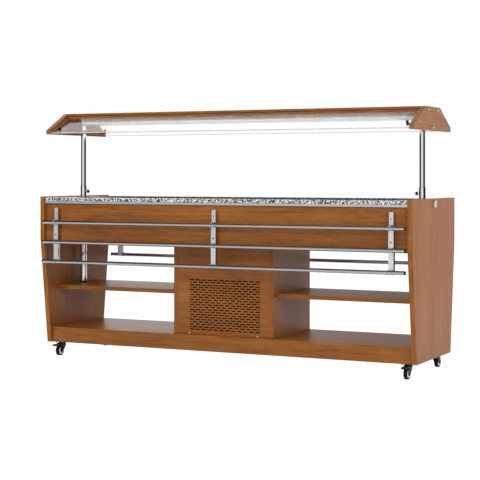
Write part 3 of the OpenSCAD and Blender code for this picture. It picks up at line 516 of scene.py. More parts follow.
def corners(node):
    """A node's lowest and highest corners."""
    return [Vector(corner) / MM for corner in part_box(node)]


def lowest(node):
    """A node's lowest corner."""
    return corners(node)[0]


def highest(node):
    """A node's highest corner."""
    return corners(node)[1]


def middle(node):
    """The middle of a node's box."""
    return (lowest(node) + highest(node)) / 2


def true_flats(mesh, sharp=32):
    """Smooth shading whose normals follow the large faces, so that flats stay flat."""
    mesh.shade_smooth()
    mesh.set_sharp_from_angle(angle=math.radians(sharp))
    holder = bpy.data.objects.new("holder", mesh)
    bpy.context.scene.collection.objects.link(holder)
    weights = holder.modifiers.new("weights", "WEIGHTED_NORMAL")
    weights.keep_sharp = True
    graph = bpy.context.evaluated_depsgraph_get()
    result = bpy.data.meshes.new_from_object(holder.evaluated_get(graph))
    bpy.data.objects.remove(holder)
    bpy.data.meshes.remove(mesh)
    return result


def bare_mesh(name, bm, finish=None, sharp=32):
    """A mesh from a bmesh: faces outwards, smooth where they meet gently."""
    bmesh.ops.remove_doubles(bm, verts=bm.verts, dist=1e-7)
    bmesh.ops.recalc_face_normals(bm, faces=bm.faces)
    mesh = bpy.data.meshes.new(name)
    bm.to_mesh(mesh)
    bm.free()
    for label in ("custom_normal", "sharp_edge", "sharp_face"):
        if label in mesh.attributes:
            mesh.attributes.remove(mesh.attributes[label])
    mesh = true_flats(mesh, sharp)
    if finish:
        mesh.materials.append(MATERIALS[finish])
    return mesh


def paint(mesh, finish, where):
    """Gives a mesh one more material, on the faces whose face and centre pass a test."""
    mesh.materials.append(MATERIALS[finish])
    for face in mesh.polygons:
        if where(face, face.center / MM):
            face.material_index = len(mesh.materials) - 1


def piece(name, node, mesh):
    """A finished piece: it rides on a CAD node's body and stands for the node."""
    thing = bpy.data.objects.new(name, mesh)
    bpy.context.scene.collection.objects.link(thing)
    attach(thing, BODY_OF[node])
    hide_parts(node)


def made(name, node, bm, finish):
    """A finished piece of one material, from a bmesh."""
    piece(name, node, bare_mesh(name, bm, finish))


def turned(name, node, finish, profile, spots, steps=48, closed=False, ridges=None):
    """A piece of equal turned shapes; a spot is a place and the way that the axis points."""
    bm = bmesh.new()
    for place, way in spots:
        lathe(bm, profile, place, way, steps, closed, ridges)
    made(name, node, bm, finish)


def dressed(node, finish, rounding, shortest):
    """A CAD node's own shape with its long arrises rounded."""
    made(node + "_shape", node, softened(node, rounding, shortest), finish)


# ---------------------------------------------------------------- growing trees


def new_tree(name, inputs):
    """A geometry tree with named inputs and a material: the tree and what it takes."""
    tree = bpy.data.node_groups.new(name, "GeometryNodeTree")
    for direction in ("INPUT", "OUTPUT"):
        tree.interface.new_socket("Geometry", in_out=direction, socket_type="NodeSocketGeometry")
    for label, kind in inputs + [("Material", "Material")]:
        tree.interface.new_socket(label, in_out="INPUT", socket_type="NodeSocket" + kind)
    return tree, tree.nodes.new("NodeGroupInput").outputs


def end_tree(tree, take, shape):
    """Ends a tree: instances made real and the material set."""
    real = add(tree, "GeometryNodeRealizeInstances", Geometry=shape).outputs[0]
    painted = add(tree, "GeometryNodeSetMaterial", Geometry=real, Material=take["Material"])
    wire(tree, painted.outputs[0], tree.nodes.new("NodeGroupOutput").inputs[0])
    return tree


def grow(tree, base, finish, **values):
    """The plain mesh that a tree makes from a base mesh; its values are in metres."""
    maker = bpy.data.objects.new("maker", base)
    bpy.context.scene.collection.objects.link(maker)
    modifier = maker.modifiers.new("tree", "NODES")
    modifier.node_group = tree
    values["Material"] = MATERIALS[finish]
    for socket in tree.interface.items_tree:
        label = socket.name.replace(" ", "_")
        if socket.in_out == "INPUT" and label in values:
            modifier[socket.identifier] = values[label]
    graph = bpy.context.evaluated_depsgraph_get()
    mesh = bpy.data.meshes.new_from_object(maker.evaluated_get(graph))
    bpy.data.objects.remove(maker)
    return mesh


def line_mesh(points, edges=()):
    """Bare points and the edges between them."""
    mesh = bpy.data.meshes.new("lines")
    mesh.from_pydata([[c * MM for c in point] for point in points], edges, [])
    return mesh


def joined(tree, *shapes):
    """Several geometries as one."""
    node = add(tree, "GeometryNodeJoinGeometry")
    for shape in shapes:
        tree.links.new(shape, node.inputs[0])
    return node.outputs[0]


def filled(tree, outlines, thickness):
    """Flat outlines filled, the inner ones left open, and given a thickness."""
    real = add(tree, "GeometryNodeRealizeInstances", Geometry=outlines)
    face = add(tree, "GeometryNodeFillCurve", Curve=real.outputs[0]).outputs[0]
    walls = add(tree, "GeometryNodeExtrudeMesh", Mesh=face, Offset_Scale=thickness, Individual=False)
    under = add(tree, "GeometryNodeFlipFaces", Mesh=face)
    solid = joined(tree, walls.outputs[0], under.outputs[0])
    return add(tree, "GeometryNodeMergeByDistance", Geometry=solid, Distance=1e-6).outputs[0]


def tree_slotted_panel():
    """A flat panel with staggered rows of round-ended slots, drawn in X and Y."""
    sizes = ("Width", "Height", "Thickness", "Slot Length", "Slot Height", "Pitch Across", "Pitch Up")
    tree, take = new_tree("slotted_panel", [(label, "Float") for label in sizes] + [
        ("Columns", "Int"), ("Rows", "Int"), ("Field Place", "Vector")])
    length, height, pitch = take["Slot Length"], take["Slot Height"], take["Pitch Across"]
    columns, rows = take["Columns"], take["Rows"]
    fewer = less(tree, columns, 1.0)
    part = less(tree, length, times(tree, pitch, 0.5))

    def slots(slot_length, across, columns_here, row_count):
        outline = add(tree, "GeometryNodeCurvePrimitiveQuadrilateral", Width=slot_length,
                      Height=height).outputs[0]
        rounded = add(tree, "GeometryNodeFilletCurve", {"mode": "POLY"}, Curve=outline, Count=3,
                      Radius=times(tree, height, 0.48)).outputs[0]
        up = times(tree, less(tree, row_count, 1.0), times(tree, take["Pitch Up"], 2.0))
        field = add(tree, "GeometryNodeMeshGrid", Size_X=across, Size_Y=up,
                    Vertices_X=columns_here, Vertices_Y=row_count).outputs[0]
        laid = add(tree, "GeometryNodeInstanceOnPoints", Points=field, Instance=rounded)
        return laid.outputs[0]

    whole_rows = times(tree, maths(tree, "ADD", rows, 1.0), 0.5)
    odd_rows = less(tree, rows, whole_rows)
    full = slots(length, times(tree, fewer, pitch), columns, whole_rows)
    shifted = slots(length, times(tree, less(tree, fewer, 1.0), pitch), fewer, odd_rows)
    reach = maths(tree, "ADD", times(tree, fewer, pitch), less(tree, length, part))
    ends = slots(part, reach, 2, odd_rows)
    placed = add(tree, "GeometryNodeTransform", Geometry=joined(tree, full, shifted, ends),
                 Translation=take["Field Place"])
    sheet = add(tree, "GeometryNodeCurvePrimitiveQuadrilateral", Width=take["Width"],
                Height=take["Height"])
    holes = add(tree, "GeometryNodeMeshToCurve", Mesh=take["Geometry"])
    outlines = joined(tree, placed.outputs[0], sheet.outputs[0], holes.outputs[0])
    return end_tree(tree, take, filled(tree, outlines, take["Thickness"]))


def tree_cut_sheet():
    """A flat sheet cut to its outlines, drawn in X and Y."""
    tree, take = new_tree("cut_sheet", [("Thickness", "Float")])
    outlines = add(tree, "GeometryNodeMeshToCurve", Mesh=take["Geometry"]).outputs[0]
    return end_tree(tree, take, filled(tree, outlines, take["Thickness"]))


def tree_row_of_blocks():
    """Equal blocks in a straight row."""
    tree, take = new_tree("row_of_blocks", [
        ("Start", "Vector"), ("Step", "Vector"), ("Size", "Vector"), ("Count", "Int")])
    row = add(tree, "GeometryNodeMeshLine", Count=take["Count"], Start_Location=take["Start"],
              Offset=take["Step"])
    cube = add(tree, "GeometryNodeMeshCube", Size=take["Size"])
    blocks = add(tree, "GeometryNodeInstanceOnPoints", Points=row.outputs[0],
                 Instance=cube.outputs[0])
    return end_tree(tree, take, blocks.outputs[0])


def tree_pipe_run():
    """A round pipe along a route of edges, its corners bent to a radius."""
    tree, take = new_tree("pipe_run", [("Radius", "Float"), ("Bend", "Float")])
    route = add(tree, "GeometryNodeMeshToCurve", Mesh=take["Geometry"])
    bent = add(tree, "GeometryNodeFilletCurve", {"mode": "POLY"}, Curve=route.outputs[0], Count=7,
               Radius=take["Bend"], Limit_Radius=True)
    ring = add(tree, "GeometryNodeCurvePrimitiveCircle", Radius=take["Radius"], Resolution=16)
    pipe_skin = add(tree, "GeometryNodeCurveToMesh", Curve=bent.outputs[0],
                    Profile_Curve=ring.outputs[0], Fill_Caps=True)
    smooth = add(tree, "GeometryNodeSetShadeSmooth", Geometry=pipe_skin.outputs[0])
    return end_tree(tree, take, smooth.outputs[0])


def tree_set_out():
    """One shape set on every point, turned as the point says."""
    tree, take = new_tree("set_out", [("Shape", "Object")])
    shape = add(tree, "GeometryNodeObjectInfo", Object=take["Shape"])
    turn = add(tree, "GeometryNodeInputNamedAttribute", {"data_type": "FLOAT_VECTOR"}, Name="turn")
    laid = add(tree, "GeometryNodeInstanceOnPoints", Points=take["Geometry"],
               Instance=shape.outputs["Geometry"], Rotation=turn.outputs[0])
    return end_tree(tree, take, laid.outputs[0])


SLOTTED_PANEL = tree_slotted_panel()
CUT_SHEET = tree_cut_sheet()
ROW_OF_BLOCKS = tree_row_of_blocks()
PIPE_RUN = tree_pipe_run()
SET_OUT = tree_set_out()


def set_out(shape, places, turns, finish):
    """Sets a small shape, given as a mesh, on a list of places."""
    pattern = bpy.data.objects.new("pattern", shape)
    points = line_mesh(places)
    turn = points.attributes.new("turn", "FLOAT_VECTOR", "POINT")
    for i, angles in enumerate(turns):
        turn.data[i].vector = angles
    mesh = grow(SET_OUT, points, finish, Shape=pattern)
    bpy.data.objects.remove(pattern)
    return true_flats(mesh, 40)


def pipe(points, radius, bend, finish, sharp=32):
    """A bent pipe through route points."""
    route = line_mesh(points, [(i, i + 1) for i in range(len(points) - 1)])
    return true_flats(grow(PIPE_RUN, route, finish, Radius=radius * MM, Bend=bend * MM), sharp)


def row_of_blocks(start, step, size, count, finish):
    """Equal blocks in a straight row, from the first one's middle."""
    return grow(ROW_OF_BLOCKS, line_mesh([]), finish, Start=Vector(start) * MM,
                Step=Vector(step) * MM, Size=Vector(size) * MM, Count=count)


# ---------------------------------------------------------------- outlines and sheets


def circle(x, y, radius, steps=32):
    """A round outline."""
    return arc((x, y), radius, 0, 360 - 360 / steps, steps - 1)


def rectangle(x0, y0, x1, y1, radius=0.0):
    """A square outline, its corners rounded where it has a radius."""
    if not radius:
        return [(x0, y0), (x1, y0), (x1, y1), (x0, y1)]
    centres = [(x1 - radius, y1 - radius), (x0 + radius, y1 - radius),
               (x0 + radius, y0 + radius), (x1 - radius, y0 + radius)]
    return [point for i, centre in enumerate(centres)
            for point in arc(centre, radius, 90 * i, 90 * i + 90)]


def loop_mesh(loops):
    """Closed outlines as bare edges, drawn in X and Y."""
    points, edges = [], []
    for loop in loops:
        first = len(points)
        points += [(x, y, 0) for x, y in loop]
        edges += [(first + i, first + (i + 1) % len(loop)) for i in range(len(loop))]
    return line_mesh(points, edges)


def cut_sheet(loops, thickness, finish):
    """A flat sheet with its outline and holes, drawn in X and Y."""
    return grow(CUT_SHEET, loop_mesh(loops), finish, Thickness=thickness * MM)


def stood_up(mesh, face_y, z=0.0):
    """Turns a flat sheet to stand in X and Z, with its back face at a place on Y."""
    quarter = Matrix.Rotation(math.radians(90), 4, "X")
    mesh.transform(Matrix.Translation((0, face_y * MM, z * MM)) @ quarter)
    return true_flats(mesh)


# ---------------------------------------------------------------- cabinet

BOARDS = [      # node, axis of its thickness, axis of its grain
    ("end_panel_left", "x", "z"), ("end_panel_right", "x", "z"), ("base_deck", "z", "x"),
    ("plinths", "y", "x"), ("shelves", "z", "x"), ("fascia_front", "y", "x"),
    ("fascia_back", "y", "x"), ("box_sides", "x", "z"), ("canopy_end_left", "x", "y"),
    ("canopy_end_right", "x", "y"), ("canopy_top", "z", "x")]


def make_board(node, thin, grain):
    """A veneered board: its faces, its banded edges, and every long arris eased."""
    mesh = bare_mesh(node + "_board", softened(node, rounding=0.7, shortest=12.0), "veneer_" + grain)
    first, second = [axis for axis in "xyz" if axis != thin]

    def leans(face, axis):
        return abs(getattr(face.normal, axis))

    paint(mesh, "band_" + first, lambda face, place: leans(face, thin) < 0.7
          and leans(face, second) > leans(face, first))
    paint(mesh, "band_" + second, lambda face, place: leans(face, thin) < 0.7
          and leans(face, second) <= leans(face, first))
    # the roof board's grooves get painted shade
    if node == "canopy_top":
        darken_grooves(mesh)
    piece(node + "_board", node, mesh)


GROOVE_DEPTH = 3.0
GROOVE_INSET = 8.0                 # at least this far from the board's top and underside


def darken_grooves(mesh):
    """The faces inside the roof board's two shadow grooves are painted dark brown as shade."""
    low, high = corners("canopy_top")

    def in_groove(face, place):
        depth = high.y - abs(place.y)
        between = low.z + GROOVE_INSET < place.z < high.z - GROOVE_INSET
        wall, floor = abs(face.normal.z) > 0.9, depth > GROOVE_DEPTH - 1
        return between and depth < GROOVE_DEPTH + 0.5 and (wall or floor)

    paint(mesh, "groove", in_groove)


SLOT_LENGTH, SLOT_HEIGHT = 27.0, 6.5
SLOT_PITCH_ACROSS, SLOT_PITCH_UP = 35.0, 13.1
SLOT_ROWS = 21
SLOT_FIRST_Z = 188.0
CONTROL_Z = 560.0
KNOB_X, SWITCH_X = -40.0, 40.0
GLAND_X, GLAND_Z = -215.0, 176.0


def make_vent_panel(node, columns, shift, holes):
    """A vent panel with its staggered field of round-ended slots."""
    low, high = corners(node)
    middle_z = (low.z + high.z) / 2
    field_z = SLOT_FIRST_Z + (SLOT_ROWS - 1) / 2 * SLOT_PITCH_UP - middle_z
    holes = [[(x, z - middle_z) for x, z in hole] for hole in holes]
    sizes = {"Width": high.x - low.x, "Height": high.z - low.z, "Thickness": high.y - low.y,
             "Slot_Length": SLOT_LENGTH, "Slot_Height": SLOT_HEIGHT,
             "Pitch_Across": SLOT_PITCH_ACROSS, "Pitch_Up": SLOT_PITCH_UP}
    sizes = {label: size * MM for label, size in sizes.items()}
    flat = grow(SLOTTED_PANEL, loop_mesh(holes), "veneer_x", Columns=columns, Rows=SLOT_ROWS,
                Field_Place=(shift * MM, field_z * MM, 0), **sizes)
    mesh = stood_up(flat, high.y, middle_z)

    def cut_face(face, place):
        inside = abs(place.x) < high.x - 1 and low.z + 1 < place.z < high.z - 1
        return inside and abs(face.normal.y) < 0.5

    # the slots' cut walls are painted dark brown as shade
    paint(mesh, "groove", cut_face)
    piece(node + "_panel", node, mesh)


def screw_mesh(head=3.8, height=2.2, cross=2.1):
    """A round head with a cross recess, its underside at the origin, facing -Y."""
    steps = 24
    deep, half_arm = height * 0.35, 0.55

    def ring(radius, z, star=False):
        points = []
        for i in range(steps):
            angle = math.tau * i / steps
            fold = abs((angle + math.pi / 4) % (math.pi / 2) - math.pi / 4)
            reach = min(radius, half_arm / max(math.sin(fold), 0.01)) if star else radius
            points.append((reach * math.cos(angle), -z, reach * math.sin(angle)))
        return points

    rounds = [(head, 0.0), (head, 0.35), (head * 0.93, height * 0.5), (head * 0.78, height * 0.82),
              (cross * 1.12, height), (cross, height, True), (cross * 0.8, deep, True)]
    bm = bmesh.new()
    add_faces(bm, [[(0, 0, 0)]] + [ring(*spec) for spec in rounds] + [[(0, -deep, 0)]])
    return bare_mesh("screw", bm, sharp=40)


BRACKET_XS = (-973.0, 0.0, 973.0)
SEAT_DEPTH = 3.0                    # floor of a bracket's spacer, under the screw head
WALL_SCREW_ZS = (792.5, 678.0)
PANEL_SCREW_X, PANEL_SCREW_Z = 200.0, 167.0


def make_screws():
    """Screws of the vent panels and of the wall brackets, on both sides."""
    panel_y, wall_y = highest("grille_back").y, highest("fascia_back").y + SEAT_DEPTH
    spots = [(x, panel_y, PANEL_SCREW_Z) for x in (-PANEL_SCREW_X, PANEL_SCREW_X)]
    spots += [(x, wall_y, z) for x in BRACKET_XS for z in WALL_SCREW_ZS]
    places = [(x, side * y, z) for side in SIDES for x, y, z in spots]
    turns = [(0, 0.4 * i + 0.3, 0 if side < 0 else math.pi)
             for side in SIDES for i in range(len(spots))]
    piece("wood_screws_heads", "wood_screws", set_out(screw_mesh(), places, turns, "screw"))


def make_worktop():
    """The stone, its arrises eased; the faces of the well opening are painted dark as shade."""
    mesh = bare_mesh("worktop_stone", softened("worktop", rounding=1.2, shortest=8), "granite")
    edge = highest("worktop") - Vector((60, 30, 0))     # the outer faces lie past it
    paint(mesh, "granite_cut", lambda face, place: abs(place.y) < edge.y
          and abs(place.x) < edge.x and abs(face.normal.z) < 0.6)
    piece("worktop_stone", "worktop", mesh)


END_CAP_Z = 861.0


def make_end_caps():
    """The round steel cap on each end panel."""
    profile = [(0, -10), (5, -10), (5, 0), (20.4, 0), (21, 0.6), (21, 5)]
    profile += arc((18, 5), 3, 0, 90, 5) + [(0, 8)]
    face_x = highest("end_panel_right").x
    spots = [((side * face_x, 0, END_CAP_Z), (side, 0, 0)) for side in SIDES]
    turned("end_caps", "end_panel_caps", "cap_steel", profile, spots, 64)


# ---------------------------------------------------------------- well and drain

DRAIN_X = -150.0
SHEET = 1.5
WELL_FLOOR_Z = 690.0
LINER_INSIDE = [        # half length, half width, corner radius, height, from the rim to the floor
    (992, 297, 10, 862.5), (982.5, 270.5, 22, 862.5), (980.6, 268.6, 20.6, 861.8),
    (980, 268, 20, 860), (980, 268, 20, 848.5), (979.2, 267.2, 19.2, 846.7),
    (977.5, 265.5, 17.5, 846), (968, 256, 30, 846), (966.5, 254.5, 28.5, 845.4),
    (966, 254, 28, 844), (966, 254, 28, 702), (964.4, 252.4, 26.4, 696),
    (960, 248, 22, 691.6), (954, 242, 16, WELL_FLOOR_Z)]


def liner_ring(half_x, half_y, radius, z):
    """One level of the well: a rounded rectangle."""
    return [(x, y, z) for x, y in rectangle(-half_x, -half_y, half_x, half_y, radius)]


def make_liner():
    """The pressed steel well: a ledge for the pans, rounded corners and a drain hole."""
    inside = [liner_ring(*level) for level in LINER_INSIDE]
    count = len(inside[0])
    angles = [(i + 0.5) * math.tau / count for i in range(count)]
    hole = [(DRAIN_X + 13.1 * math.cos(a), 13.1 * math.sin(a)) for a in angles]
    inside.append([(x, y, WELL_FLOOR_Z) for x, y in hole])
    outside = [[(x, y, WELL_FLOOR_Z - SHEET) for x, y in hole]]
    for half_x, half_y, radius, z in reversed(LINER_INSIDE[3:]):
        out = 0 if z == WELL_FLOOR_Z else SHEET
        drop = SHEET if z < 700 or 844 < z < 847 else 0
        outside.append(liner_ring(half_x + out, half_y + out, radius + out, z - drop))
    outside.append(liner_ring(981.5, 269.5, 21.5, 861))
    outside.append(liner_ring(992, 297, 10, 861))
    bm = bmesh.new()
    add_faces(bm, inside + outside, closed=True)
    made("liner_pressing", "well_liner", bm, "satin_steel")


def make_drain():
    """The drain spigot with its flange and cap, and the strainer over it."""
    profile = [(10, 612), (0, 612), (0, 600), (14.2, 600), (15, 600.8), (15, 614), (13, 614),
               (13, 690), (19.4, 690), (20, 690.4), (19.6, 691.2), (18.6, 691.5), (12, 691.5),
               (10.4, 690.4), (10, 688)]
    spots = [((DRAIN_X, 0, 0), UP)]
    turned("drain_spigot", "drain_pipe", "satin_steel", profile, spots, 48, closed=True)
    holes = [circle(0, 0, 1.3, 12)]
    for ring in (1, 2):
        angles = [math.tau * i / (6 * ring) for i in range(6 * ring)]
        holes += [circle(ring * 3.4 * math.cos(a), ring * 3.4 * math.sin(a), 1.3, 12) for a in angles]
    mesh = cut_sheet([circle(0, 0, 10, 48)] + holes, 0.8, "satin_steel")
    mesh.transform(Matrix.Translation(Vector((DRAIN_X, 0, WELL_FLOOR_Z - 0.4)) * MM))
    piece("drain_strainer", "drain_pipe", true_flats(mesh))


# ---------------------------------------------------------------- cooling unit

UNIT_FLOOR = 162.0
COMPRESSOR = Vector((130.0, 60.0, UNIT_FLOOR))
PLATE_UP = 12.0                     # base plate above the unit's floor
CONDENSER_BACK = -145.0
CONDENSER_FOOT = 192.0
FAN_X, FAN_Z = -130.0, 312.0
PIPE_R = 4.0


def make_compressor():
    """The hermetic can with its weld seam, on a base plate with rubber feet."""
    base = COMPRESSOR + Vector((0, 0, PLATE_UP))
    can = [(0, 2), (68, 2), (74, 5), (76, 11), (76, 56), (78, 57), (78.6, 58.5), (78, 60), (76, 61)]
    can += [(76 * (0.3 + 0.7 * math.cos(math.radians(a))), 112 + 55 * math.sin(math.radians(a)))
            for a in range(0, 91, 6)] + [(0, 167)]
    bm = bmesh.new()
    lathe(bm, can, base, UP, 64)
    block(bm, base + Vector((-88, -88, 0)), base + Vector((88, 88, 3)), 1)
    for angle in (40, 160, 280):
        tilt = math.radians(angle)
        stub = base + Vector((38 * math.cos(tilt), 38 * math.sin(tilt), 148))
        lathe(bm, [(0, 0), (5, 0), (5, 16), (0, 16)], stub, UP, 20)
    made("compressor_can", "compressor", bm, "black_paint")
    cover = bmesh.new()
    block(cover, base + Vector((-100, -28, 40)), base + Vector((-62, 28, 100)), 4)
    made("compressor_terminals", "compressor", cover, "black_plastic")
    feet = bmesh.new()
    foot = [(0, 0), (13, 0), (14, 1), (14, 4), (11.5, 5.2), (11.5, 7), (14, 8.2), (14, 11),
            (13, 12), (0, 12)]
    nut = [(0, 15), (7, 15), (7, 18), (4, 18), (4, 22), (0, 22)]
    for side_x in SIDES:
        for side_y in SIDES:
            place = COMPRESSOR + Vector((side_x * 70, side_y * 70, 0))
            lathe(feet, foot, place, UP, 32)
            lathe(feet, nut, place, UP, 6)
    made("compressor_feet", "compressor", feet, "rubber")


def make_condenser():
    """Finned block with its hairpins, end plates, and the round-mouthed duct of the fan."""
    low, high = corners("condenser")
    front, back = low.y, CONDENSER_BACK
    mid_y = (front + back) / 2
    fin_low, fin_high = CONDENSER_FOOT + 4, high.z - 4
    fins = 58
    pitch = (high.x - low.x - 14) / (fins - 1)
    mesh = row_of_blocks((low.x + 7, mid_y, (fin_low + fin_high) / 2), (pitch, 0, 0),
                         (0.7, back - front - 4, fin_high - fin_low), fins, "alloy")
    piece("condenser_fins", "condenser", mesh)
    plates = bmesh.new()
    for x in (low.x, high.x - 2):
        block(plates, (x, front, low.z), (x + 2, back, high.z), 0.3)
    for z in (CONDENSER_FOOT, high.z - 2):
        block(plates, (low.x, front, z), (high.x, back, z + 2), 0.3)
    for x in (low.x, high.x - 8):
        block(plates, (x, front, low.z), (x + 8, back, low.z + 2), 0.3)
    made("condenser_frame", "condenser", plates, "galvanised")
    route = []
    rows = 9
    for i in range(rows):
        z = fin_low + (fin_high - fin_low) * (i + 0.5) / rows
        ends = (low.x + 4.5, high.x - 4.5)
        route += [(x, mid_y, z) for x in (ends if i % 2 == 0 else ends[::-1])]
    piece("condenser_hairpins", "condenser", pipe(route, PIPE_R, 9.0, "copper"))
    outline = rectangle(low.x, CONDENSER_FOOT, high.x, high.z, 3)
    mouth = cut_sheet([outline, circle(FAN_X, FAN_Z, 98, 64)], SHEET, "galvanised")
    piece("condenser_mouth", "condenser", stood_up(mouth, high.y))
    inner = rectangle(low.x + SHEET, CONDENSER_FOOT + SHEET, high.x - SHEET, high.z - SHEET, SHEET)
    levels = ((outline, back), (outline, high.y), (inner, high.y), (inner, back))
    duct = bmesh.new()
    add_faces(duct, [[(x, y, z) for x, z in shape] for shape, y in levels], closed=True)
    made("condenser_duct", "condenser", duct, "galvanised")


BLADE_ACROSS, BLADE_ALONG = 8, 7    # faces of a blade's grid
BLADE_ROOT, BLADE_TIP = 17.0, 91.0


def blade_skin(bm, hub, turn, side):
    """One skin of a blade as a grid of vertices, wider and flatter towards its tip."""
    grid = []
    for j in range(BLADE_ALONG + 1):
        out = j / BLADE_ALONG
        radius = BLADE_ROOT + (BLADE_TIP - BLADE_ROOT) * out
        width = 30 + 22 * math.sin(math.pi * min(1, out * 0.85))
        pitch = math.radians(34 - 18 * out)
        row = []
        for i in range(BLADE_ACROSS + 1):
            u = i / BLADE_ACROSS - 0.5
            camber = 2.2 * (1 - 4 * u * u)
            x, y = width * u * math.cos(pitch), width * u * math.sin(pitch) * 0.72 + camber + side
            lift = math.sqrt(max(radius * radius - x * x, 1))
            point = hub + turn @ Vector((x, max(-7.6, min(7.6, y)), lift))
            row.append(bm.verts.new(point * MM))
        grid.append(row)
    for near, far in zip(grid, grid[1:]):
        for i in range(BLADE_ACROSS):
            bm.faces.new((near[i], near[i + 1], far[i + 1], far[i]))
    return grid


def make_fan():
    """Five pitched blades on a hub, and the motor in its bracket."""
    centre = Vector((FAN_X, middle("fan_blade").y, FAN_Z))
    bm = bmesh.new()
    hub = [(4.2, -8), (18, -8), (20, -6), (20, 6), (18, 8), (4.2, 8)]
    lathe(bm, hub, centre, BACK, 40, closed=True)
    for blade in range(5):
        turn = Matrix.Rotation(math.tau * blade / 5, 3, "Y")
        first, grid = [blade_skin(bm, centre, turn, side) for side in (-0.5, 0.5)]
        along, across = range(BLADE_ALONG), range(BLADE_ACROSS)
        rim = [(grid[j][0], grid[j + 1][0], first[j + 1][0], first[j][0]) for j in along]
        rim += [(grid[j + 1][-1], grid[j][-1], first[j][-1], first[j + 1][-1]) for j in along]
        rim += [(grid[-1][i], grid[-1][i + 1], first[-1][i + 1], first[-1][i]) for i in across]
        rim += [(grid[0][i + 1], grid[0][i], first[0][i], first[0][i + 1]) for i in across]
        for face in rim:
            bm.faces.new(face)
    made("fan_rotor", "fan_blade", bm, "black_plastic")
    dressed("fan_motor", "black_paint", rounding=0.8, shortest=5)


COIL_RUNS = 6
COIL_PITCH = 76.0
COIL_HALF_X = 930.0


def make_pipes():
    """Liquid line, evaporator coil under the well and return, and the gas line."""
    outlet_x, liquid_z, gas_z = -10.0, 216.0, 400.0
    supply_x, return_x = 235.0, 205.0           # risers through the casing's floor
    riser_y, return_y, turn_x = -190.0, -228.0, -956.0
    coil_z = WELL_FLOOR_Z - SHEET - 4.1
    port_z = UNIT_FLOOR + 78
    x, y = COMPRESSOR.xy
    supply = [(outlet_x, riser_y, liquid_z), (supply_x, riser_y, liquid_z),
              (supply_x, riser_y, coil_z)]
    for i in range(1, COIL_RUNS - 1):
        end = COIL_HALF_X if i % 2 == 0 else -COIL_HALF_X
        supply += [(way * end, riser_y + i * COIL_PITCH, coil_z) for way in SIDES]
    supply += [(turn_x, riser_y + (COIL_RUNS - 1) * COIL_PITCH, coil_z), (turn_x, return_y, coil_z),
               (return_x, return_y, coil_z), (return_x, riser_y, coil_z),
               (return_x, riser_y, port_z), (x + 40, riser_y, port_z), (x + 40, y - 60, port_z)]
    gas = [(x - 30, y - 64, port_z), (x - 30, y - 120, port_z), (x - 30, y - 120, gas_z),
           (x - 30, -172, gas_z), (outlet_x, -172, gas_z)]
    for name, route in (("suction_and_coil", supply), ("gas_line", gas)):
        piece(name, "copper_pipes", pipe(route, PIPE_R, 11.0, "copper", 50))


# ---------------------------------------------------------------- controls


def make_control_plate(face_y):
    """The plate, its dial marks and switch marks, and its four screws."""
    outlines = [rectangle(-90, CONTROL_Z - 38, 90, CONTROL_Z + 38, 4),
                circle(KNOB_X, CONTROL_Z, 4.1, 24),
                rectangle(SWITCH_X - 12, CONTROL_Z - 8, SWITCH_X + 12, CONTROL_Z + 8)]
    plate = cut_sheet(outlines, face_y - lowest("control_plate").y, "satin_steel")
    piece("control_face", "control_plate", stood_up(plate, face_y))
    marks = bmesh.new()
    ink_low, ink_high = face_y - 0.15, face_y - 0.05
    for i in range(11):
        angle = math.radians(-135 + 27 * i)
        inner, outer, half = 23.5, 27.5 if i % 2 else 29.5, 0.35
        out = Vector((-math.sin(angle), math.cos(angle)))
        aside = Vector((math.cos(angle), math.sin(angle))) * half
        hub = Vector((KNOB_X, CONTROL_Z))
        tick = [hub + out * inner - aside, hub + out * inner + aside,
                hub + out * outer + aside, hub + out * outer - aside]
        prism(marks, tick, ink_low, ink_high, 1)
    ring = [(2.1, 0), (2.8, 0), (2.8, -0.1), (2.1, -0.1)]
    lathe(marks, ring, (SWITCH_X - 19, face_y, CONTROL_Z), BACK, 24, closed=True)
    block(marks, (SWITCH_X + 18.6, ink_low, CONTROL_Z - 2.8),
          (SWITCH_X + 19.3, ink_high, CONTROL_Z + 2.8))
    made("control_marks", "control_plate", marks, "black_plastic")
    spots = [(x, face_y, CONTROL_Z + z) for x in (-82, 82) for z in (-30, 30)]
    turns = [(0, 0.5 * i, math.pi) for i in range(4)]
    heads = set_out(screw_mesh(2.6, 1.0, 1.4), spots, turns, "screw")
    piece("control_screws", "control_plate", heads)


def make_knob(face_y):
    """The thermostat's knob: a skirt, a ribbed grip and a pale pointer."""
    place = Vector((KNOB_X, face_y, CONTROL_Z))
    skirt = [(0, -18), (4, -18), (4, 1), (20.4, 1), (21, 1.6), (21, 3.2), (20.2, 4), (0, 4)]
    grip = [(0, 4), (16.6, 4), (16.9, 14.5), (16, 16.4), (14.5, 17), (0, 17)]
    knob, pointer = bmesh.new(), bmesh.new()
    lathe(knob, skirt, place, BACK, 48)
    lathe(knob, grip, place, BACK, 96, ridges=(16, 0.7))
    made("knob_body", "thermostat_knob", knob, "black_plastic")
    block(pointer, place + Vector((-0.8, 16.6, 5)), place + Vector((0.8, 17.0, 15.5)), 0.15)
    made("knob_pointer", "thermostat_knob", pointer, "white_plastic")


def make_gland():
    """The cable gland: a ribbed body and a nut on each side of the panel."""
    bm = bmesh.new()
    body = [(4, -21), (8, -21), (8, 0.2), (8, 6), (9, 7), (9, 9), (8.4, 9.6), (9, 10.2), (9, 12),
            (8.4, 12.6), (9, 13.2), (9, 16), (7, 18), (4, 18)]
    outer_nut = [(8, 0), (11.4, 0), (12, 0.6), (12, 5.4), (11.4, 6), (8, 6)]
    inner_nut = [(8, -22), (12, -22), (12, -18), (8, -18)]
    place = (GLAND_X, highest("grille_back").y, GLAND_Z)
    for profile, steps in ((body, 32), (outer_nut, 6), (inner_nut, 6)):
        lathe(bm, profile, place, BACK, steps, closed=True)
    made("gland_body", "cable_gland", bm, "black_plastic")


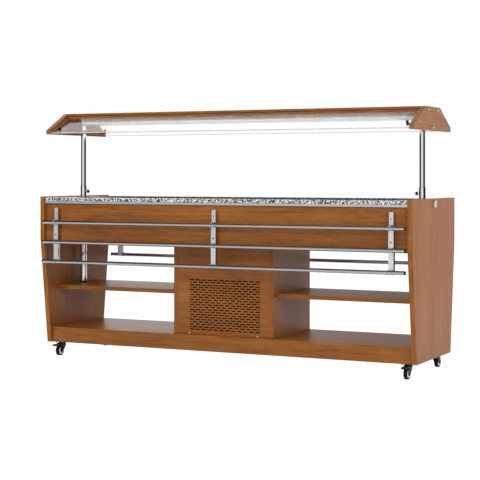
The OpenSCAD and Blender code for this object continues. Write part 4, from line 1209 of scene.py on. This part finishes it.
def make_controls():
    """Control plate, knob, rocker switch and cable gland."""
    face_y = highest("control_plate").y
    make_control_plate(face_y)
    make_knob(face_y)
    dressed("power_switch", "black_plastic", rounding=0.6, shortest=3)
    make_gland()


# ---------------------------------------------------------------- posts

POST_X = 1016.0
SADDLE_Z = 1249.5


def make_posts():
    """Lower sleeves with their feet, clamped collars with a black ring on each top as painted shade in the
    gap, and the sliding posts.
    """
    shelf, stone = highest("shelves").z, highest("worktop_rails").z
    bottom, top = (corner.z for corner in corners("canopy_posts"))
    ring_low, ring_high = (corner.z for corner in corners("post_collars"))
    spots = [((side * POST_X, 0, 0), UP) for side in SIDES]
    sleeve = [(17.7, shelf + 8), (18.6, shelf + 8), (18.6, stone - 0.1), (17.7, stone - 0.1)]
    foot = [(0, shelf), (21.3, shelf), (22, shelf + 0.7), (22, shelf + 4.5), (21.2, shelf + 6),
            (20, shelf + 7.6), (19, shelf + 8), (17.3, shelf + 8), (17.3, shelf + 16),
            (0, shelf + 16)]
    seat = ring_high - 1.6
    collar = [(15.05, ring_low), (17.5, ring_low), (17.5, ring_high - 2), (17, seat), (15.05, seat)]
    # a black ring on the collar's top stands in for the shade in the gap round the post: painted shade
    gap_shade_ring = [(15.05, seat), (16.9, seat), (16.9, ring_high - 0.7), (16.2, ring_high),
             (15.05, ring_high)]
    post = [(13.5, bottom), (14.6, bottom), (15, bottom + 0.4), (15, top), (13.5, top)]
    turned("sleeve_tubes", "post_sleeves", "chrome", sleeve, spots, 64, closed=True)
    turned("sleeve_feet", "post_sleeves", "black_plastic", foot, spots, 48)
    turned("collar_rings", "post_collars", "chrome", collar, spots, 64, closed=True)
    turned("collar_wipers", "post_collars", "black_plastic", gap_shade_ring, spots, 48, closed=True)
    turned("post_tubes", "canopy_posts", "chrome", post, spots, 64, closed=True)


def make_thumbscrew(side_name, side):
    """A ribbed knob on a short spindle."""
    node = "thumbscrew_" + side_name
    spots = [((side * (POST_X - 23), 0, middle(node).z), (-side, 0, 0))]
    grip = [(0, 0), (5.4, 0), (6, 0.6), (8.9, 2.6), (9.5, 3.4), (9.5, 10.4), (9.2, 11.4),
            (8, 12.4), (0, 12.5)]
    spindle = [(0, -7.7), (3.2, -7.7), (4, -6.9), (4, 1), (0, 1)]
    turned(node + "_knob", node, "black_plastic", grip, spots, 72, ridges=(12, 0.9))
    turned(node + "_spindle", node, "screw", spindle, spots, 24)


# ---------------------------------------------------------------- canopy

END_T = 26.0                        # thickness of a canopy end
PANE_FOOT = Vector((288.0, 1241.5))     # y and z of a pane's outer lower corner
PANE_HEAD = Vector((110.0, 1324.5))
PANE_SLOPE = math.atan2(PANE_HEAD.y - PANE_FOOT.y, PANE_FOOT.x - PANE_HEAD.x)
PANE_T = 6.0
HOLDER_UP, HOLDER_IN = 52.0, 27.0   # up the pane, and in from the canopy end


def make_pane(node):
    """A glass pane with eased edges; its narrow edge faces are an opaque brownish grey, a painted
    refraction of the wood with painted highlights.
    """
    mesh = bare_mesh(node + "_pane", softened(node, rounding=0.6, shortest=4), "clear_glass")
    widest = max(face.area for face in mesh.polygons)
    paint(mesh, "glass_edge", lambda face, place: face.area <= widest / 2)
    piece(node + "_pane", node, mesh)


def make_holders():
    """The four glass pegs: a black block on the canopy end, a washer and a ball nut."""
    blocks, balls = bmesh.new(), bmesh.new()
    inner = highest("canopy_end_right").x - END_T
    x = inner - HOLDER_IN
    y = PANE_FOOT.x - HOLDER_UP * math.cos(PANE_SLOPE)
    z = PANE_FOOT.y + HOLDER_UP * math.sin(PANE_SLOPE)
    tilt = Matrix.Translation(Vector((0, y, z)) * MM) @ Matrix.Rotation(-PANE_SLOPE, 4, "X")
    washer = [(0, 0.2), (8, 0.2), (8, 2.4), (7.4, 3), (0, 3)]
    ball = [(0, 2.6), (3.6, 2.6)] + arc((0, 8), 7, -56, 90, 14)[:-1] + [(0, 15)]
    for side_x in SIDES:
        for side_y in SIDES:
            place = Matrix.Diagonal((side_x, side_y, 1, 1)) @ tilt
            done = len(blocks.verts), len(balls.verts)
            block(blocks, (x - 6, -8, -PANE_T - 8), (inner, 8, -PANE_T - 0.2), 1.2)
            lathe(blocks, washer, (x, 0, 0), UP, 32)
            lathe(balls, ball, (x, 0, 0), UP, 32)
            for bm, count in zip((blocks, balls), done):
                bmesh.ops.transform(bm, matrix=place, verts=list(bm.verts)[count:])
    made("holder_blocks", "glass_holders", blocks, "black_plastic")
    made("holder_balls", "glass_holders", balls, "black_gloss")


LAMP_SCREW_XS = (-875.0, -352.0, 352.0, 875.0)
LED_COUNT = 24


def make_lamp():
    """Housing, diffuser, and the LED strip behind it."""
    low, high = corners("lamp_housing")
    mesh = bare_mesh("lamp_housing_shape", softened("lamp_housing", rounding=1.0, shortest=8), "grey_paint")
    # the housing's lowest downward faces are painted darker grey as shade
    paint(mesh, "dark_paint", lambda face, place: face.normal.z < -0.9 and place.z < low.z + 1)
    piece("lamp_housing_shape", "lamp_housing", mesh)
    screw = [(0, -2), (3.6, -2), (3.6, 0.4), (2.6, 1.4), (0, 1.7)]
    spots = [((x, side * (high.y - 1.6), low.z + 6), (0, side, 0))
             for x in LAMP_SCREW_XS for side in SIDES]
    turned("lamp_screws", "lamp_housing", "dark_zinc", screw, spots, 16)
    dressed("lamp_diffuser", "opal", rounding=0.4, shortest=3)
    low, high = corners("led_strip")
    strip = bmesh.new()
    block(strip, (low.x, low.y, high.z - 2), high, 0.2)
    made("led_board", "led_strip", strip, "white_plastic")
    step = (high.x - low.x) / LED_COUNT
    chips = row_of_blocks((low.x + step / 2, 0, high.z - 2.9), (step, 0, 0), (12, 12, 1.8),
                          LED_COUNT, "phosphor")
    piece("led_chips", "led_strip", chips)


def make_studs():
    """The round caps that cover the bolts of the canopy ends."""
    roof_z, end_x = middle("canopy_top").z, highest("canopy_end_right").x
    dome = [(0, -9), (4, -9), (4, 0), (8.2, 0), (8.5, 0.3), (8.5, 1.2)]
    dome += [(8.5 * math.cos(math.radians(a)), 1.2 + 4.4 * math.sin(math.radians(a)))
             for a in range(15, 90, 15)] + [(0, 5.6)]
    spots = [((side * end_x, y, z), (side, 0, 0)) for side in SIDES
             for y, z in ((-77, roof_z), (77, roof_z), (0, SADDLE_Z))]
    turned("canopy_studs", "canopy_caps", "chrome", dome, spots, 40)


# ---------------------------------------------------------------- tray rails

RAIL_R, RAIL_WALL = 10.0, 1.2
RAIL_Y = 362.0
RAIL_ZS = (747.0, 639.5, 532.0)
PLUG = 5.0
CAM_R, CAM_HALF = RAIL_R + 1, 4.0
CAM_REACH, CAM_NOSE = 8.0, 16.9


def make_arms(side_name, side):
    """The three arms of a tray rail, polished where they wrap the tubes."""
    node = side_name + "_tray_arms"
    mesh = bare_mesh(node + "_shape", softened(node, rounding=0.3, shortest=6), "bracket_steel")
    paint(mesh, "tube_steel", lambda face, place: RAIL_R + 3 > min(
        math.hypot(place.y - side * RAIL_Y, place.z - z) for z in RAIL_ZS))
    piece(node + "_shape", node, mesh)


def make_rail_tubes(side_name, side):
    """Three polished tubes with black end plugs, and the stop cams on the top one."""
    node = side_name + "_tray_tubes"
    half = highest(node).x
    end = half - PLUG
    bore = RAIL_R - RAIL_WALL
    tube = [(bore, -end), (RAIL_R, -end), (RAIL_R, end), (bore, end)]
    plug = [(0, end - 14), (bore, end - 14), (bore, end), (RAIL_R, end), (RAIL_R, half - 1.6)]
    plug += arc((8.4, half - 1.6), 1.6, 0, 90, 4) + [(0, half)]
    places = [(0, side * RAIL_Y, z) for z in RAIL_ZS]
    turned(node + "_bars", node, "tube_steel", tube, [(place, ALONG) for place in places], 48,
           closed=True)
    turned(node + "_plugs", node, "black_plastic", plug,
           [(place, (way, 0, 0)) for place in places for way in SIDES], 40)
    cam = arc((0, 0), CAM_R, 90, 360 + math.degrees(math.acos(CAM_REACH / CAM_R)), 24)
    cam += [(CAM_REACH, CAM_NOSE - 0.6), (CAM_REACH - 0.6, CAM_NOSE), (0.6, CAM_NOSE),
            (0, CAM_NOSE - 0.6)]
    outline = [(side * (RAIL_Y + u), RAIL_ZS[0] + v) for u, v in cam]
    cams = bmesh.new()
    for x in BRACKET_XS:
        prism(cams, outline, x - CAM_HALF, x + CAM_HALF, 0)
    made(node + "_cams", node, cams, "tube_steel")


# ---------------------------------------------------------------- casters

CASTERS = [("front_left", -1, -1), ("front_right", 1, -1), ("back_left", -1, 1),
           ("back_right", 1, 1)]
CASTER_X, CASTER_Y = 1018.0, 218.0
TRAIL = 24.0
AXLE_Z = 28.0


def make_caster_tops():
    """Mounting plates with their bolts, the ball race and the kingpin."""
    plates, pins = bmesh.new(), bmesh.new()
    top = lowest("base_deck").z
    under = top - 2.5
    bolt = [(0, top - 5.6), (5.2, top - 5.6), (5.8, top - 5), (5.8, under), (0, under)]
    race = [(0, 69), (18.6, 69), (20, 70.2), (20, 73), (18, under), (0, under)]
    kingpin = [(0, 57), (8.6, 57), (9, 57.6), (9, 60.6), (8.4, 61.2), (6, 61.2), (6, 69), (0, 69)]
    for side_x in SIDES:
        for side_y in SIDES:
            x, y = side_x * CASTER_X, side_y * CASTER_Y
            front, back = sorted((y - side_y * 23, y + side_y * 30))
            block(plates, (x - 30, front, under), (x + 30, back, top), 0.5)
            for dx in (-23, 23):
                for dy in (-16, 23):
                    lathe(pins, bolt, (x + side_x * dx, y + side_y * dy, 0), UP, 6)
            lathe(plates, race, (x, y, 0), UP, 40)
            lathe(pins, kingpin, (x, y, 0), UP, 32)
    made("caster_top_plates", "caster_plates", plates, "black_paint")
    made("caster_kingpins", "caster_plates", pins, "black_paint")


def make_wheel(name, side_x, side_y):
    """A black tyre round a pale core, on its hub."""
    node = "wheel_" + name
    spots = [((side_x * CASTER_X, side_y * (CASTER_Y + TRAIL), AXLE_Z), ALONG)]
    tyre = [(20.4, -9.2), (22, -10), (25.2, -10)] + arc((25.2, -7.2), 2.8, -90, 0, 5)
    tyre += [(28, -0.5), (27.8, 0)]
    tyre += [(r, -a) for r, a in reversed(tyre[:-1])]
    disc = [(4.05, -10), (8.4, -10), (9, -9.5), (9.6, -8.2), (17.6, -8.2), (18.6, -9.6), (20.5, -9.3)]
    disc += [(r, -a) for r, a in reversed(disc)]
    turned(node + "_tyre", node, "rubber", tyre, spots, 72, closed=True)
    turned(node + "_core", node, "hub_grey", disc, spots, 56, closed=True)


# ---------------------------------------------------------------- the whole object


def dress_object():
    """Every piece of the salad bar."""
    for board in BOARDS:
        make_board(*board)
    make_worktop()
    dressed("worktop_rails", "satin_steel", rounding=0.3, shortest=4)
    make_end_caps()
    make_vent_panel("grille_front", columns=12, shift=8, holes=[])
    make_vent_panel("grille_back", columns=6, shift=120, holes=[
        circle(KNOB_X, CONTROL_Z, 6, 24), circle(GLAND_X, GLAND_Z, 8.1, 24),
        rectangle(SWITCH_X - 13, CONTROL_Z - 9, SWITCH_X + 13, CONTROL_Z + 9)])
    make_screws()
    make_liner()
    dressed("well_casing", "casing", rounding=1.0, shortest=8)
    make_drain()
    make_compressor()
    make_condenser()
    make_fan()
    dressed("unit_tray", "galvanised", rounding=0.6, shortest=8)
    make_pipes()
    make_controls()
    make_posts()
    make_thumbscrew("left", -1)
    make_thumbscrew("right", 1)
    dressed("post_brackets", "saddle_paint", rounding=0.5, shortest=6)
    make_pane("glass_front")
    make_pane("glass_back")
    make_holders()
    make_lamp()
    make_studs()
    dressed("tray_brackets", "bracket_steel", rounding=0.3, shortest=6)
    for side_name, side in (("front", -1), ("back", 1)):
        make_arms(side_name, side)
        make_rail_tubes(side_name, side)
    make_caster_tops()
    for name, side_x, side_y in CASTERS:
        dressed("fork_" + name, "black_paint", rounding=0.4, shortest=3)
        make_wheel(name, side_x, side_y)
    for name in ("front_left", "front_right"):
        dressed("brake_" + name, "black_plastic", rounding=0.7, shortest=3)


# ---------------------------------------------------------------- stage and light

ROOM = [        # azimuth in degrees from +X, and how bright the room is that way in a mirror
    (-180, 0.01), (-150, 0.02), (-134, 0.12), (-122, 0.24), (-112, 0.70), (-103, 1.00),
    (-50, 1.00), (-38, 0.45), (-22, 0.015), (59, 0.015), (64, 0.80), (69, 1.10), (76, 1.20),
    (90, 0.90), (104, 0.45), (112, 0.50), (117, 1.15), (121, 1.45), (128, 1.45), (142, 0.30),
    (150, 0.05), (180, 0.02)]
CEILING_LOW, CEILING_HIGH = 42, 58      # degrees up, between which the room darkens


def seen_ray(tree, rays):
    """1 for what the camera sees, directly or through glass."""
    return maths(tree, "MAXIMUM", rays["Is Camera Ray"], rays["Is Transmission Ray"])


def make_floor():
    """A white floor that keeps the object's shadow."""
    bpy.ops.mesh.primitive_plane_add(size=60, location=(0, 0, 0))
    floor = bpy.context.object
    floor.name = "floor"
    tree = new_material("floor", Base_Color=(0.80, 0.80, 0.80, 1), Roughness=0.9,
                        Specular_IOR_Level=0.0)[0]
    glow = add(tree, "ShaderNodeEmission", Strength=1.16)
    rays = add(tree, "ShaderNodeLightPath").outputs
    mirrored = times(tree, rays["Is Glossy Ray"], 0.30)
    share = maths(tree, "MULTIPLY_ADD", seen_ray(tree, rays), 0.86, mirrored)
    blend = add(tree, "ShaderNodeMixShader")
    lit = tree.nodes["Principled BSDF"].outputs[0]
    for value, socket in zip((share, lit, glow.outputs[0]), blend.inputs):
        wire(tree, value, socket)
    wire(tree, blend.outputs[0], tree.nodes["Material Output"].inputs["Surface"])
    floor.data.materials.append(MATERIALS["floor"])


def make_world():
    """White to the camera and through glass, grey as a light, and a room to a mirror."""
    world = bpy.data.worlds.new("studio")
    bpy.context.scene.world = world
    world.use_nodes = True
    tree = world.node_tree
    rays = add(tree, "ShaderNodeLightPath").outputs
    generated = add(tree, "ShaderNodeTexCoord").outputs["Generated"]
    way = add(tree, "ShaderNodeSeparateXYZ", Vector=generated).outputs
    around = maths(tree, "ARCTAN2", way["Y"], way["X"])
    around = maths(tree, "MULTIPLY_ADD", around, 1 / math.tau, 0.5)
    ramp = add(tree, "ShaderNodeValToRGB", Fac=around)
    stops = [((azimuth + 180) / 360, (bright, bright, bright, 1)) for azimuth, bright in ROOM]
    set_stops(ramp, [stops[0], stops[-1]] + stops[1:-1])
    heights = [math.sin(math.radians(angle)) for angle in (CEILING_LOW, CEILING_HIGH)]
    mirrored = times(tree, ramp.outputs["Color"], span(tree, way["Z"], *heights, 1.0, 0.08))
    seen = seen_ray(tree, rays)
    plain = maths(tree, "MULTIPLY_ADD", seen, 0.45, 0.55)
    only_mirror = times(tree, rays["Is Glossy Ray"], less(tree, 1.0, seen))
    strength = maths(tree, "ADD", times(tree, mirrored, only_mirror),
                     times(tree, plain, less(tree, 1.0, only_mirror)))
    back = tree.nodes["Background"].inputs
    back["Color"].default_value = WHITE
    wire(tree, strength, back["Strength"])


LAMPS = [       # name, place and target in metres, size in metres, watts
    ("key", (-2.5, -4.5, 4.0), (0, 0, 0.7), 3.0, 155),
    ("fill", (5.0, -3.0, 2.5), (0.3, 0, 0.7), 3.0, 118),
    ("side", (6.0, 1.2, 2.2), (1.0, 0, 0.7), 2.5, 75),
    ("back", (0, 4.5, 3.5), (0, 0, 0.8), 3.0, 80)]


def add_lamp(name, place, target, size, watts):
    """A square soft light that points at a target."""
    light = bpy.data.lights.new(name, "AREA")
    light.shape = "SQUARE"
    light.size = size
    light.energy = watts
    lamp = bpy.data.objects.new(name, light)
    lamp.location = place
    lamp.rotation_euler = (Vector(target) - Vector(place)).to_track_quat("-Z", "Y").to_euler()
    bpy.context.scene.collection.objects.link(lamp)
    lamp.visible_camera = False
    lamp.visible_glossy = False


bpy.context.scene.view_settings.view_transform = "Standard"
make_camera()
make_floor()
make_world()
for lamp_row in LAMPS:
    add_lamp(*lamp_row)
dress_object()
